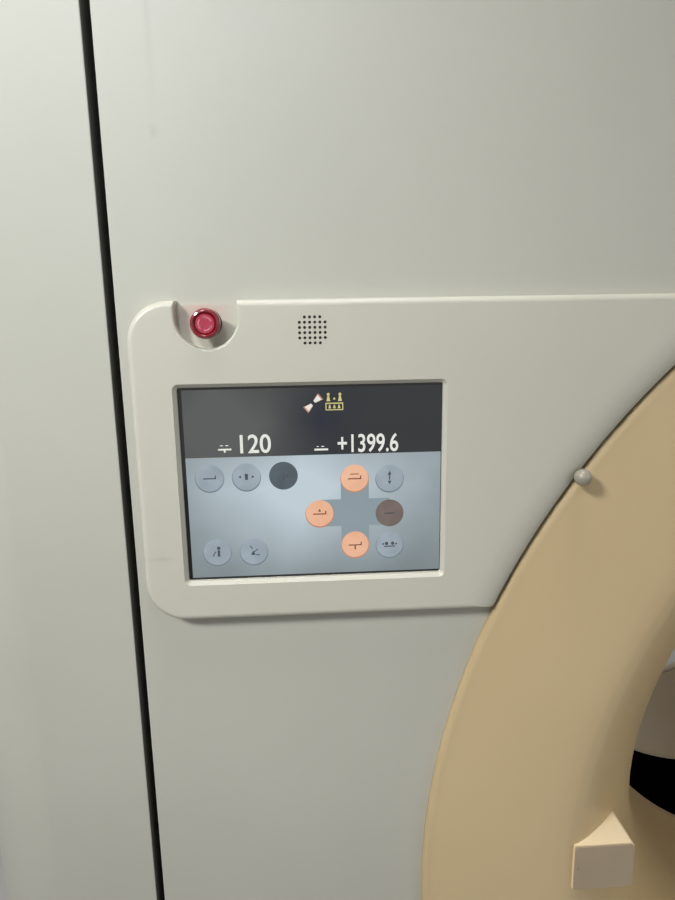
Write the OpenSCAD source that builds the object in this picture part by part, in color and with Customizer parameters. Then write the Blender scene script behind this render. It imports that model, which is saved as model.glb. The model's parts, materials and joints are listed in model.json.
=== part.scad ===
// Tilting scanner housing: a round tunnel through a tall casing that tilts between two side pillars.
// Millimetres. The origin is on the floor under the middle of the tunnel, +Z is up, the front is at -Y.

/* [Housing] */
// Clearance between the round underside and the floor
belly_clear = 75; // [65:5:110]
// From the tunnel axis to the top of the covers
top_rise = 900; // [880:5:930]
// Depth from the front cover's face to the rear cover's face
cover_depth = 1010; // [1000:5:1040]
// Width of the tilting section
tilt_w = 1884; // [1876:2:1910]
// Radius of the round underside about the tilt axis
belly_r = 925; // [915:1:935]
// Radius of the front and rear top edges
crown_r = 90; // [60:5:120]
// Radius of the upright edges
corner_r = 8; // [6:1:14]
// Wall of the moulded covers
skin = 4; // [3:0.5:5]
// Width of the middle strip of covers, front to back
strip_w = 500; // [460:10:520]

/* [Tunnel] */
// Radius of the tunnel
bore_r = 360; // [345:1:365]
// Radius of the front and rear rings at their outer edge
ring_r = 695; // [685:1:705]
// How far a ring's edge stands proud of the cover
ring_proud = 7; // [6:0.5:9]
// How far the flat lip of a ring falls away on its way in
ring_fall = 10; // [6:0.5:12]
// Radius at which the front ring turns into the funnel
flare_r = 541; // [530:1:550]
// Length over which the funnel closes in to about a third
flare_len = 122; // [110:1:130]
// Radial width of the rear flare
rear_flare = 150; // [120:5:170]
// Depth of the rear flare's straight tunnel end behind the tunnel's middle
rear_seam_y = 400; // [380:5:420]
// Width of the dark scan window band
window_w = 188; // [150:2:200]
// Width of the pale trim rings beside the scan window
trim_w = 3; // [2:0.5:6]

/* [Control panels] */
// How far a panel stands proud of the cover
panel_proud = 15; // [13:0.5:18]
// From a panel's outer edge to the side of the tilting section
panel_margin = 10; // [6:0.5:14]
// Height of a panel's upper edge above the tunnel axis
panel_high = 555; // [550:1:575]
// Height of a panel
panel_h = 264; // [255:1:275]
// Corner radius of a panel
panel_corner = 32; // [26:1:40]
// Radius of a panel's rounded front edge
panel_edge = 5; // [3:0.5:7]
// Width of the rolled edge beside the ring
panel_roll = 26; // [20:1:30]
// Seam between a panel and the ring
panel_seam = 3; // [2:0.5:5]
// From a panel's outer edge to the middle of its display
display_in = 142; // [136:1:150]
// From a panel's upper edge to the middle of its display
display_down = 148.3; // [145:0.1:152]
// Width of a display opening
display_w = 213; // [200:1:220]
// Height of a display opening
display_h = 162.6; // [150:0.2:166]
// How deep the touch glass lies behind the panel's face
display_sink = 6; // [5:0.5:7]
// Width of the bevel round a display opening
display_bevel = 3; // [2:0.5:5]
// From a panel's outer edge to its stop button
stop_in = 62; // [60:0.5:66]
// From a panel's upper edge to its stop button
stop_down = 17.5; // [16:0.5:19]
// Radius of the scoop round a stop button
scoop_r = 24.2; // [22:0.2:26]
// From a panel's upper edge to the scoop's lower end
scoop_down = 37; // [35:0.5:40]
// Radius of the rounded edge round the scoop
scoop_edge = 2; // [1:0.5:3]
// How far the panel's upper edge dips at the scoop
scoop_dip = 3; // [1:0.5:3.5]
// Depth of the scoop
scoop_d = 11; // [10:0.5:12]
// Radius of a stop button's head
stop_r = 11.6; // [11:0.2:13]
// Travel of a stop button
stop_travel = 4; // [3:0.5:4.5]
// From a panel's outer edge to its speaker
speaker_in = 144; // [140:1:150]
// From a panel's upper edge to its speaker
speaker_down = 23.8; // [22:0.2:26]
// Spacing of the speaker holes
speaker_pitch = 4; // [3.5:0.1:4.2]
// Diameter of a speaker hole
speaker_hole = 2.4; // [1.8:0.1:2.8]

/* [Positioning lasers] */
// Length of a laser box along the radius
laser_l = 61; // [55:1:65]
// Width of a laser box across the radius
laser_w = 50; // [44:1:60]
// How far a laser box's front lies behind the cover's face
laser_back = 3; // [2:0.5:4]
// Thickness of a laser box's front plate
laser_plate_t = 2; // [1.5:0.5:3]
// Angle of the four ring knobs above and below the sides
knob_angle = 35.7; // [30:0.1:40]
// Radius of a ring knob
knob_r = 7.25; // [6:0.25:9]

/* [Stand] */
// Width of a pillar's cover
pillar_w = 171; // [168:1:190]
// Running gap between the tilting section and a pillar
run_gap = 7; // [5:0.5:10]
// Radius of a pillar cover's outer edges
pillar_r = 80; // [50:5:100]
// Gap between the round underside and the base covers
belly_gap = 10; // [8:1:20]
// Depth of a base cover, front to back
base_cover_d = 205; // [180:5:220]
// Gap between the covers and the floor
floor_gap = 12; // [8:1:20]
// Thickness of the floor plate
floor_t = 20; // [16:1:25]
// From an anchor hole to the end of the floor plate
anchor_end = 65; // [60:1:80]
// From an anchor hole to the long edge of the floor plate
anchor_edge = 35; // [30:1:45]
// Diameter of an anchor hole
anchor_d = 18; // [14:1:22]
// Half the width of a pillar's foot
pillar_foot = 380; // [360:5:390]
// Radius of a pillar's head
pillar_head = 140; // [130:5:160]
// Radius of the trunnion shafts
trunnion_r = 55; // [45:1:60]
// Radial running clearance of the plain bearings
bush_play = 0.05; // [0.02:0.01:0.09]

/* [Tilt gear] */
// Module of the tilt gear's teeth
gear_m = 8; // [7:1:8]
// Teeth on the whole circle of the sector
sector_n = 75; // [70:1:76]
// Teeth of the pinion
pinion_n = 18; // [18:1:20]
// Play between the teeth
gear_play = 0.5; // [0.3:0.1:0.8]
// Width of the sector
sector_w = 25; // [20:1:28]

/* [Rotor] */
// Radius of the rotor's rim
rotor_r = 790; // [770:5:800]
// Clearance between the tunnel and the rotor
rotor_gap = 40; // [36:1:44]
// Front face of the rotor's plate, behind the tunnel's middle
rotor_y = 150; // [140:5:155]
// Thickness of the rotor's plate
rotor_t = 40; // [30:2:40]
// From the rotor's hole to the pitch circle of the main bearing's balls
race_at = 85; // [82:1:92]
// Radius of a main bearing ball
ball_r = 12; // [10:0.5:13]
// Balls in the main bearing
ball_n = 40; // [30:1:44]
// Clearance between a ball and its track
ball_play = 0.3; // [0.2:0.05:0.4]
// From the rotor's rim to the middle of the X-ray tube
tube_in = 150; // [145:5:160]
// Radius of the X-ray tube's housing
tube_r = 92; // [80:2:100]
// How far the focal spot lies below the tube's middle
focus_drop = 40; // [30:5:50]
// Clearance between the tunnel and the detector's face
detector_gap = 80; // [70:5:90]
// Half the angle that the detector covers
detector_half = 26.5; // [22:0.5:28]
// Detector modules in the row
module_n = 15; // [9:1:17]
// Radius of the drive pulley
pulley_r = 60; // [50:1:70]
// From the drive motor's axis to the side of the tilting section
motor_side = 162; // [155:1:170]
// Height of the drive motor's axis above the lowest line of the underside
motor_up = 225; // [215:5:245]
// Width of the drive belt
belt_w = 24; // [18:1:26]
// Thickness of the drive belt
belt_t = 5; // [3:0.5:6]

/* [Fans] */
// Distance of each exhaust fan from the middle
fan_x = 500; // [440:10:560]
// Side of a fan's square frame
fan_side = 172; // [160:2:180]
// Height of a fan's frame
fan_h = 50; // [46:1:56]
// Blades of a fan
fan_blades = 7; // [5:1:9]

/* [Hidden] */
$fn = 120;

// Colours
cover_grey = [0.80, 0.80, 0.77];
panel_grey = [0.79, 0.78, 0.73];
ring_tan = [0.76, 0.66, 0.50];
window_black = [0.04, 0.04, 0.05];
steel_grey = [0.50, 0.52, 0.54];
bright_steel = [0.75, 0.76, 0.78];
dark_steel = [0.30, 0.31, 0.33];
brass_yellow = [0.78, 0.64, 0.32];
rubber_black = [0.08, 0.08, 0.08];
stop_red = [0.75, 0.08, 0.15];
knob_white = [0.90, 0.90, 0.87];

// Planes of the housing, seen from the tunnel axis
axis_h = belly_r + belly_clear;
cover_y = cover_depth / 2;
tilt_hw = tilt_w / 2;
strip_y = strip_w / 2;
ring_y = cover_y + ring_proud;
panel_y = cover_y + panel_proud;
pillar_in = tilt_hw + run_gap;
pillar_out = pillar_in + pillar_w;
window_y = window_w / 2 + trim_w;

// Places on a panel
panel_reach = tilt_hw - panel_margin;
panel_low = panel_high - panel_h;
display_x = panel_reach - display_in;
display_z = panel_high - display_down;
stop_x = panel_reach - stop_in;
stop_z = panel_high - stop_down;
scoop_low = panel_high - scoop_down;
speaker_x = panel_reach - speaker_in;
speaker_z = panel_high - speaker_down;

// Ends of a laser box, measured from the tunnel axis
laser_out = flare_r;
laser_in = laser_out - laser_l;

// Places of the works inside
rotor_in = bore_r + rotor_gap;
ball_pitch = rotor_in + race_at;
tube_at = rotor_r - tube_in;
focus_at = tube_at - focus_drop;
detector_r = focus_at + bore_r + detector_gap;
motor_x = tilt_hw - motor_side;
motor_z = belly_r - motor_up;

// How far a cut runs past what it cuts, and a length beyond everything
over = 1;
huge = 3000;

// Moves a piece that is drawn round the tunnel axis up to its place above the floor
module at_axis() translate([0, 0, axis_h]) children();

// Draws a side view (Y across, Z up) as a solid from x0 to x1
module along_x(x0, x1)
    translate([x0, 0, 0]) rotate([90, 0, 90]) linear_extrude(x1 - x0) children();

// Draws a front view (X across, Z up) as a solid from y0 to y1
module along_y(y0, y1)
    translate([0, y1, 0]) rotate([90, 0, 0]) linear_extrude(y1 - y0) children();

// Turns a profile, given as radius and Y, about the tunnel axis
module about_y() rotate([-90, 0, 0]) rotate_extrude() children();

// Turns what lies along +X to an angle in the front view, counted up from +X
module to_angle(a) rotate([0, -a, 0]) children();

module block(lo, hi) translate(lo) cube(hi - lo);

// A rod along X or along Y
module rod_x(r, x0, x1) translate([x0, 0, 0]) rotate([0, 90, 0]) cylinder(r = r, h = x1 - x0);
module rod_y(r, y0, y1) translate([0, y0, 0]) rotate([-90, 0, 0]) cylinder(r = r, h = y1 - y0);

// A rectangle whose four corners, from low-low round to low-high, each have their own radius
module round_rect(lo, hi, r) {
    corners = [[lo.x, lo.y], [hi.x, lo.y], [hi.x, hi.y], [lo.x, hi.y]];
    inward = [[1, 1], [-1, 1], [-1, -1], [1, -1]];
    difference() {
        translate(lo) square(hi - lo);
        for (i = [0:3])
            if (r[i] > 0)
                difference() {
                    translate(corners[i] + inward[i] * (r[i] - over) / 2)
                        square(r[i] + over, center = true);
                    translate(corners[i] + inward[i] * r[i]) circle(r[i]);
                }
    }
}

// Side view of the tilting section, drawn in by an inset
module flank(inset) {
    union() {
        round_rect([-cover_y + inset, -over], [cover_y - inset, top_rise - inset],
                   [0, 0, crown_r - inset, crown_r - inset]);
        intersection() {
            circle(belly_r - inset);
            translate([-cover_y + inset, -belly_r]) square([cover_depth - 2 * inset, belly_r]);
        }
    }
}

// The tilting section as one solid: its side view, cut to the plan that is given
module housing(inset)
    intersection() {
        along_x(-tilt_hw + inset, tilt_hw - inset) flank(inset);
        translate([0, 0, -belly_r]) linear_extrude(belly_r + top_rise) children();
    }

// Plan of the outside, with round upright edges
module outer_plan()
    round_rect([-tilt_hw, -cover_y], [tilt_hw, cover_y], [corner_r, corner_r, corner_r, corner_r]);

// Plan of the inside. Its bevelled corners leave the wall there a little thicker than the skin.
module inner_plan() {
    x = tilt_hw - skin;
    y = cover_y - skin;
    cut = corner_r - skin;
    polygon([[-x + cut, -y], [x - cut, -y], [x, -y + cut], [x, y - cut],
             [x - cut, y], [-x + cut, y], [-x, y - cut], [-x, -y + cut]]);
}

module shell_part(lo, hi)
    intersection() {
        difference() {
            housing(0) outer_plan();
            housing(skin) inner_plan();
        }
        block(lo, hi);
    }

// What the front and rear covers share: a deep tray with a round opening behind the ring
ring_seat = skin + 8;
module cover_tray()
    difference() {
        shell_part([-huge, -huge, -huge], [huge, -strip_y, huge]);
        rod_y(ring_r - ring_seat, -huge, 0);
    }

// Cut-out in the front cover behind a panel, for its display, speaker and stop switch
pocket_rim = 4;
pocket_past = 24;
module panel_pocket() {
    corner = panel_corner - pocket_rim;
    along_y(-huge, 0)
        round_rect([-panel_reach + pocket_rim, panel_low + pocket_rim],
                   [-display_x + display_w / 2 + pocket_past, panel_high - pocket_rim],
                   [corner, 0, 0, corner]);
}

module front_cover() color(cover_grey) at_axis()
    difference() {
        cover_tray();
        for (s = [0, 1]) mirror([s, 0, 0]) panel_pocket();
    }

module rear_cover() color(cover_grey) at_axis() mirror([0, 1, 0]) cover_tray();

// Middle strip of covers: the sides wrap round the top and bottom edges by side_wrap
side_wrap = 30;
vent_slot = 8;
vent_pitch = 16;
fan_hole = fan_side / 2 - 6;

module vent_slots() {
    rows = floor((fan_hole - vent_slot) / vent_pitch);
    for (i = [-rows:rows]) {
        y = i * vent_pitch;
        half = sqrt(pow(fan_hole, 2) - pow(abs(y) + vent_slot / 2, 2));
        end = vent_slot / 2 - 0.01;
        translate([0, 0, top_rise - 2 * skin]) linear_extrude(3 * skin)
            round_rect([-half, y - vent_slot / 2], [half, y + vent_slot / 2],
                       [end, end, end, end]);
    }
}

module top_cover() color(cover_grey) at_axis()
    difference() {
        shell_part([-tilt_hw + side_wrap, -strip_y, 0], [tilt_hw - side_wrap, strip_y, huge]);
        for (s = [-1, 1]) translate([s * fan_x, 0, 0]) vent_slots();
    }

module bottom_cover() color(cover_grey) at_axis()
    shell_part([-tilt_hw + side_wrap, -strip_y, -huge], [tilt_hw - side_wrap, strip_y, 0]);

trunnion_hole = trunnion_r + 6;
module side_cover() color(cover_grey) at_axis()
    difference() {
        shell_part([tilt_hw - side_wrap, -strip_y, -huge], [huge, strip_y, huge]);
        rod_x(trunnion_hole, 0, huge);
    }
module side_cover_right() side_cover();
module side_cover_left() mirror([1, 0, 0]) side_cover();

// Front ring and funnel. The lip falls gently towards flare_r, then the wall closes in like an
// exponential and meets the scan window at exactly the tunnel's radius.
ring_blend = 5;
ring_steps = 56;
closing = exp(-(ring_y - window_y - ring_fall) / flare_len);
asymptote = (bore_r - flare_r * closing) / (1 - closing);
function lip_fall(r) = ring_fall * (ring_r - r) / (ring_r - flare_r);
function throat_fall(r) = ring_fall - flare_len * ln((r - asymptote) / (flare_r - asymptote));
function funnel_fall(r) =
    ring_blend * ln(exp(lip_fall(r) / ring_blend) + exp(throat_fall(r) / ring_blend))
    - ring_blend * ln(1 + exp(throat_fall(ring_r) / ring_blend));
funnel_face = [
    for (i = [0:ring_steps])
        let (r = asymptote + (ring_r - asymptote)
                 * pow((bore_r - asymptote) / (ring_r - asymptote), i / ring_steps))
            i == ring_steps ? [bore_r, -window_y] : [r, -ring_y + funnel_fall(r)]
];

// Rear flare, drawn as if it were at the front: a lip, then a quarter ellipse into the tunnel
rear_steps = 24;
rear_rise = ring_y - ring_fall - rear_seam_y;
rear_face = concat(
    [for (i = [0:4]) let (r = ring_r + (bore_r + rear_flare - ring_r) * i / 4)
        [r, -ring_y + ring_fall * i / 4]],
    [for (i = [1:rear_steps]) let (a = 90 * i / rear_steps)
        [bore_r + rear_flare * (1 - sin(a)), -rear_seam_y - rear_rise * cos(a)]]
);

// A thin wall behind a face: every point moves back by the skin, square to the face
function unit(v) = v / norm(v);
function wall_normal(p, i) =
    let (t = unit(p[min(i + 1, len(p) - 1)] - p[max(i - 1, 0)])) [t.y, -t.x];
function back_of(p) = concat(
    [p[len(p) - 1] + [skin, 0]],
    [for (i = [len(p) - 2:-1:1]) p[i] + skin * wall_normal(p, i)]
);
lip_round = 2;
function rolled_lip(face) = concat(
    [for (a = [0:22.5:90])
        [ring_r - lip_round * (1 - cos(a)), face[0].y + lip_round * (1 - sin(a))]],
    [for (i = [1:len(face) - 1]) face[i]]
);
function ring_section(face) = concat(
    rolled_lip(face), back_of(face),
    [[ring_r - skin, face[0].y + skin + 0.2], [ring_r - skin, -cover_y], [ring_r, -cover_y]]
);

knob_at = ring_r + panel_seam / 2;
knob_stem = 3;
knob_fit = 0.2;
module knob_places()
    for (a = [knob_angle, 180 - knob_angle, 180 + knob_angle, -knob_angle])
        to_angle(a) translate([knob_at, 0, 0]) children();

module front_ring() color(ring_tan) at_axis()
    difference() {
        about_y() polygon(ring_section(funnel_face));
        knob_places() rod_y(knob_stem + knob_fit, -huge, 0);
    }

module rear_ring() color(ring_tan) at_axis() mirror([0, 1, 0])
    about_y() polygon(ring_section(rear_face));

module tube_wall(r, y0, y1)
    about_y() translate([r, y0]) square([skin, y1 - y0]);

module scan_window() color(window_black) at_axis()
    tube_wall(bore_r, -window_w / 2, window_w / 2);

module window_trims() color(panel_grey) at_axis()
    for (s = [0, 1]) mirror([0, s, 0]) tube_wall(bore_r, window_w / 2, window_y);

module tunnel_rear() color(ring_tan) at_axis() tube_wall(bore_r, window_y, rear_seam_y);

// White ball knobs that pin the ring's edge
knob_out = knob_r + 0.35 * (panel_proud - ring_proud);
module ring_knobs() color(knob_white) at_axis()
    knob_places() {
        translate([0, -ring_y - knob_out, 0]) sphere(knob_r);
        rod_y(knob_stem, -ring_y - knob_out, -cover_y);
    }

// Control panel, drawn on the left and mirrored for the right. Its rim is a quarter round in short
// flats that runs along the edges and round the corners, and a rolled edge follows the ring.
panel_inner = ring_r + panel_seam;
module panel_outline(inset)
    round_rect([-panel_reach + inset, panel_low + inset], [0, panel_high - inset],
               [panel_corner - inset, 0, 0, panel_corner - inset]);

rim_steps = 6;
module panel_body()
    hull() for (i = [0:rim_steps]) {
        a = 90 * i / rim_steps;
        along_y(-panel_y + panel_edge * (1 - sin(a)), -cover_y)
            panel_outline(panel_edge * (1 - cos(a)), $fn = 48);
    }

// The rolled edge beside the ring, as a turned cutter with an elliptical flank
roll_steps = 10;
roll_drop = panel_proud - ring_proud;
module ring_cutter()
    about_y() polygon(concat(
        [[0, -panel_y - over], [panel_inner + panel_roll, -panel_y - over],
         [panel_inner + panel_roll, -panel_y]],
        [for (i = [1:roll_steps]) let (a = 90 * i / roll_steps)
            [panel_inner + panel_roll * (1 - sin(a)), -panel_y + roll_drop * (1 - cos(a))]],
        [[panel_inner, over], [0, over]]
    ));

display_corner = 2;
module display_shape(grow) {
    half = [display_w / 2 + grow, display_h / 2 + grow];
    mid = [-display_x, display_z];
    r = display_corner + grow;
    round_rect(mid - half, mid + half, [r, r, r, r], $fn = 32);
}
module display_cut() {
    along_y(-panel_y - over, -cover_y + over) display_shape(0);
    hull() {
        along_y(-panel_y - over, -panel_y) display_shape(display_bevel);
        along_y(-panel_y - over, -panel_y + display_bevel) display_shape(0);
    }
}

// Space behind the face for the display, open to the cover's cut-out
module display_room() {
    half = [display_w / 2 + glass_lap, display_h / 2 + glass_lap];
    mid = [-display_x, display_z];
    along_y(-panel_y + display_sink, -cover_y + over) translate(mid - half) square(2 * half);
}

// A round-bottomed slot that runs out through the panel's upper edge
module scoop_shape(grow) {
    r = scoop_r + grow;
    translate([-stop_x, scoop_low + scoop_r]) {
        circle(r);
        translate([-r, 0]) square([2 * r, panel_high]);
    }
}

// The scoop's own edge is rounded in short flats, and the panel's upper edge dips where it runs out
edge_steps = 3;
module stop_scoop() {
    along_y(-panel_y - over, -panel_y + scoop_d) scoop_shape(0);
    for (i = [1:edge_steps])
        hull() for (a = 90 * [i - 1, i] / edge_steps)
            along_y(-panel_y - over, -panel_y + scoop_edge * (1 - cos(a)))
                scoop_shape(scoop_edge * (1 - sin(a)), $fn = 72);
    block([-stop_x - scoop_r, -panel_y, panel_high - scoop_dip],
          [-stop_x + scoop_r, -cover_y + over, panel_high + over]);
    translate([-stop_x, 0, stop_z]) rod_y(stop_barrel + stop_fit, -panel_y, 0);
}

speaker_rows = 6;
speaker_disc = 14;
speaker_skin = 3;
speaker_play = 1;
speaker_t = 8;
module speaker_holes() {
    mid = (speaker_rows - 1) / 2;
    for (i = [0:speaker_rows - 1], j = [0:speaker_rows - 1])
        if (abs(i - mid) + abs(j - mid) < 2 * mid - 0.5)
            translate([-speaker_x + (i - mid) * speaker_pitch, 0,
                       speaker_z + (j - mid) * speaker_pitch])
                rod_y(speaker_hole / 2, -panel_y - over, -panel_y + speaker_skin + over, $fn = 16);
    translate([-speaker_x, 0, speaker_z])
        rod_y(speaker_disc + speaker_play, -panel_y + speaker_skin, 0);
}

module panel() color(panel_grey) at_axis()
    difference() {
        panel_body();
        ring_cutter();
        display_cut();
        display_room();
        stop_scoop();
        speaker_holes();
        knob_places() rod_y(knob_stem + knob_fit, -huge, 0);
    }
module panel_left() panel();
module panel_right() mirror([1, 0, 0]) panel();

// Display unit behind the touch glass
glass_lap = 5;
glass_play = 0.3;
glass_t = 2;
display_t = 14;
board_t = 12;
board_share = 0.7;
module touch_glass() color([0.25, 0.30, 0.33]) at_axis() {
    half = [display_w / 2, display_h / 2] + (glass_lap - glass_play) * [1, 1];
    along_y(-panel_y + display_sink, -panel_y + display_sink + glass_t)
        translate([-display_x, display_z] - half) square(2 * half);
}
module touch_glass_left() touch_glass();
module touch_glass_right() mirror([1, 0, 0]) touch_glass();

module display() color(dark_steel) at_axis() {
    half = [display_w / 2, display_h / 2] + (glass_lap - glass_play) * [1, 1];
    mid = [-display_x, display_z];
    y0 = -panel_y + display_sink + glass_t;
    along_y(y0, y0 + display_t) translate(mid - half) square(2 * half);
    along_y(y0 + display_t, y0 + display_t + board_t)
        translate(mid - board_share * half) square(2 * board_share * half);
}
module display_left() display();
module display_right() mirror([1, 0, 0]) display();

// Stop switch: the barrel passes the scoop's floor, the contact block sits behind it
stop_barrel = 11;
stop_fit = 0.2;
stop_lap = 1.6;
stop_collar_r = stop_r - stop_lap;
stop_collar_t = 2.5;
stop_stem = 6;
stop_block = 32;
stop_top = panel_high - pocket_rim - 1 - stop_z;
stop_depth = 45;
stop_floor = 5;
stop_gap = 0.3;
stop_head_back = scoop_d - stop_collar_t - stop_travel - stop_gap;
stop_head_t = 11;
module stop_base() color(rubber_black) at_axis() translate([-stop_x, -panel_y + scoop_d, stop_z])
    difference() {
        union() {
            rod_y(stop_collar_r, -stop_collar_t, 0);
            rod_y(stop_barrel, 0, stop_depth);
            block([-stop_block / 2, panel_proud - scoop_d, stop_top - stop_block],
                  [stop_block / 2, stop_depth, stop_top]);
        }
        rod_y(stop_stem + bush_play, -stop_collar_t - over, stop_depth - stop_floor);
    }
module stop_base_left() stop_base();
module stop_base_right() mirror([1, 0, 0]) stop_base();

// Red mushroom head with a raised, rounded rim and a sunk middle disc inside a groove
dish_share = 0.62;
dish_d = 1;
groove_d = 1.8;
groove_w = 0.6;
rim_flat = 2.2;
rim_drop = [1.2, 0.4];
rim_round = 2;
skirt_w = 2.5;
skirt_h = 5;
module stop_button() color(stop_red) at_axis() translate([-stop_x, -panel_y, stop_z]) {
    front = stop_head_back - stop_head_t;
    dish = dish_share * stop_r;
    end = scoop_d + stop_depth - stop_travel - stop_floor - over;
    about_y() polygon([
        [0, front + dish_d], [dish, front + dish_d], [dish + groove_w, front + groove_d],
        [stop_r - rim_flat, front], [stop_r - rim_drop.x, front + rim_drop.y],
        [stop_r, front + rim_round], [stop_r, stop_head_back - skirt_h],
        [stop_r - skirt_w, stop_head_back],
        [stop_stem, stop_head_back], [stop_stem, end], [0, end]
    ]);
}
module stop_button_left() stop_button();
module stop_button_right() mirror([1, 0, 0]) stop_button();

module speakers() color(dark_steel) at_axis()
    for (s = [0, 1]) mirror([s, 0, 0]) translate([-speaker_x, -panel_y + speaker_skin, speaker_z]) {
        rod_y(speaker_disc, 0, speaker_t);
        rod_y(speaker_disc / 2, speaker_t, 2 * speaker_t);
    }

// Positioning lasers: boxes that fill the funnel's bend at both sides and at the top
laser_angles = [0, 90, 180];
laser_round = 4;
laser_face = -cover_y + laser_back;
laser_body_r = 6;
laser_body_l = 15;
laser_body_in = 16;
laser_body_y = laser_face + laser_body_in;
laser_body_play = 0.1;
laser_deep = 100;
laser_screw_in = 5;
laser_screw_r = 1.2;
module laser_outline(inset)
    round_rect([laser_in + inset, -laser_w / 2 + inset], [laser_out - inset, laser_w / 2 - inset],
               [laser_round, 1, 1, laser_round]);

module behind_funnel()
    about_y() polygon(concat(funnel_face, [[ring_r, -window_y]]));

module laser_boxes() color(ring_tan) at_axis()
    for (a = laser_angles) to_angle(a)
        difference() {
            along_y(laser_face + laser_plate_t, -cover_y + laser_deep) laser_outline(0);
            behind_funnel();
            translate([0, laser_body_y, 0])
                rod_x(laser_body_r + laser_body_play, 0, laser_in + laser_body_l);
        }

plate_slit = 0.8;
module laser_plates() color(ring_tan) at_axis()
    for (a = laser_angles) to_angle(a)
        difference() {
            along_y(laser_face, laser_face + laser_plate_t) laser_outline(plate_slit);
            translate([laser_out - laser_screw_in, 0, 0])
                rod_y(laser_screw_r, -huge, laser_face + laser_plate_t / 2, $fn = 24);
        }

module laser_modules() color(dark_steel) at_axis()
    for (a = laser_angles) to_angle(a) translate([0, laser_body_y, 0])
        rod_x(laser_body_r, laser_in + plate_slit, laser_in + laser_body_l);

// Stand: floor plate with two stiffeners, and an A-shaped pillar on each side
plate_end = 20;
plate_edge = 35;
plate_x = pillar_out - plate_end;
plate_y = cover_y - plate_edge;
stiffener_y = 250;
stiffener_w = 60;
stiffener_h = 30;
module floor_plate() color(steel_grey)
    difference() {
        union() {
            block([-plate_x, -plate_y, 0], [plate_x, plate_y, floor_t]);
            for (s = [-1, 1])
                translate([0, s * stiffener_y, floor_t + stiffener_h / 2])
                    cube([2 * pillar_in, stiffener_w, stiffener_h], center = true);
        }
        for (sx = [-1, 1], sy = [-1, 1])
            translate([sx * (plate_x - anchor_end), sy * (plate_y - anchor_edge), -over])
                cylinder(r = anchor_d / 2, h = floor_t + 2 * over);
    }

frame_clear = 7;
frame_x = pillar_in + skin + frame_clear;
frame_t = 25;
flange_w = 15;
flange_t = 18;
foot_w = 90;
foot_t = 20;
foot_z = floor_t - axis_h;
bush_wall = 20;
bush_out = trunnion_r + bush_wall;
bush_lip = 20;
bush_lip_t = 8;
bush_past = 2;

// A-shaped outline, tangent to the round head
module pillar_outline(inset) {
    foot = [pillar_foot - inset, foot_z + inset];
    head = pillar_head - inset;
    a = atan2(foot.y, foot.x) + acos(head / norm(foot));
    side = head * [cos(a), sin(a)];
    circle(head);
    polygon([foot, side, [-side.x, side.y], [-foot.x, foot.y]]);
}

// Opening between the legs
eye_up = 160;
eye_h = 280;
eye_low_hw = 190;
eye_high_hw = 120;
module pillar_eye() {
    low = foot_z + eye_up;
    high = low + eye_h;
    polygon([[-eye_low_hw, low], [eye_low_hw, low], [eye_high_hw, high], [-eye_high_hw, high]]);
}

// A spine above the head carries the upper of two rails that hold the pillar's cover
rail_up = 280;
rail_down = 200;
rail_h = 30;
rail_t = 30;
rail_low = foot_z + rail_up;
rail_high = top_rise - rail_down;
spine_hw = 60;
spine_t = 14;
module pillar() color(steel_grey) at_axis()
    difference() {
        union() {
            along_x(frame_x, frame_x + frame_t)
                difference() {
                    pillar_outline(0);
                    pillar_eye();
                }
            along_x(frame_x + frame_t, frame_x + frame_t + flange_w)
                difference() {
                    pillar_outline(0);
                    pillar_outline(flange_t);
                    translate([-huge, -over]) square([2 * huge, huge]);
                }
            block([frame_x, -pillar_foot, foot_z], [frame_x + foot_w, pillar_foot, foot_z + foot_t]);
            block([frame_x + frame_t, -spine_hw, spine_hw],
                  [frame_x + frame_t + spine_t, spine_hw, rail_high + rail_h / 2]);
            for (z = [rail_low, rail_high])
                block([frame_x + frame_t, -cover_y + skin, z - rail_h / 2],
                      [frame_x + frame_t + rail_t, cover_y - skin, z + rail_h / 2]);
        }
        rod_x(bush_out, 0, frame_x + frame_t + over);
        rod_x(bush_out + bush_lip + bush_past, frame_x + frame_t, huge);
    }
module pillar_right() pillar();
module pillar_left() mirror([1, 0, 0]) pillar();

module tilt_bearing() color(brass_yellow) at_axis()
    difference() {
        union() {
            rod_x(bush_out, frame_x - bush_past, frame_x + frame_t);
            rod_x(bush_out + bush_lip, frame_x + frame_t, frame_x + frame_t + bush_lip_t);
        }
        rod_x(trunnion_r + bush_play, 0, huge);
    }
module tilt_bearing_right() tilt_bearing();
module tilt_bearing_left() mirror([1, 0, 0]) tilt_bearing();

// Pillar cover: upright box with large outer rounds, open underneath and at the floor plate
gate_gap = 2;
gate_h = 60;
module pillar_solid(inset) {
    low = floor_gap - axis_h - (inset > 0 ? over : 0);
    big = pillar_r - inset;
    small = max(corner_r - inset, 1);
    x0 = pillar_in + inset;
    x1 = pillar_out - inset;
    intersection() {
        along_x(x0, x1)
            round_rect([-cover_y + inset, low], [cover_y - inset, top_rise - inset],
                       [0, 0, crown_r - inset, crown_r - inset]);
        translate([0, 0, low]) linear_extrude(top_rise - low)
            round_rect([x0, -cover_y + inset], [x1, cover_y - inset], [small, big, big, small]);
        along_y(-cover_y + inset, cover_y - inset)
            round_rect([x0, low], [x1, top_rise - inset], [0, 0, big, small]);
    }
}
module pillar_cover() color(cover_grey) at_axis()
    difference() {
        pillar_solid(0);
        pillar_solid(skin);
        rod_x(trunnion_hole, 0, pillar_in + 2 * skin);
        block([0, -plate_y - gate_gap, -axis_h],
              [pillar_in + 2 * skin, plate_y + gate_gap, foot_z + gate_h]);
    }
module pillar_cover_right() pillar_cover();
module pillar_cover_left() mirror([1, 0, 0]) pillar_cover();

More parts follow.
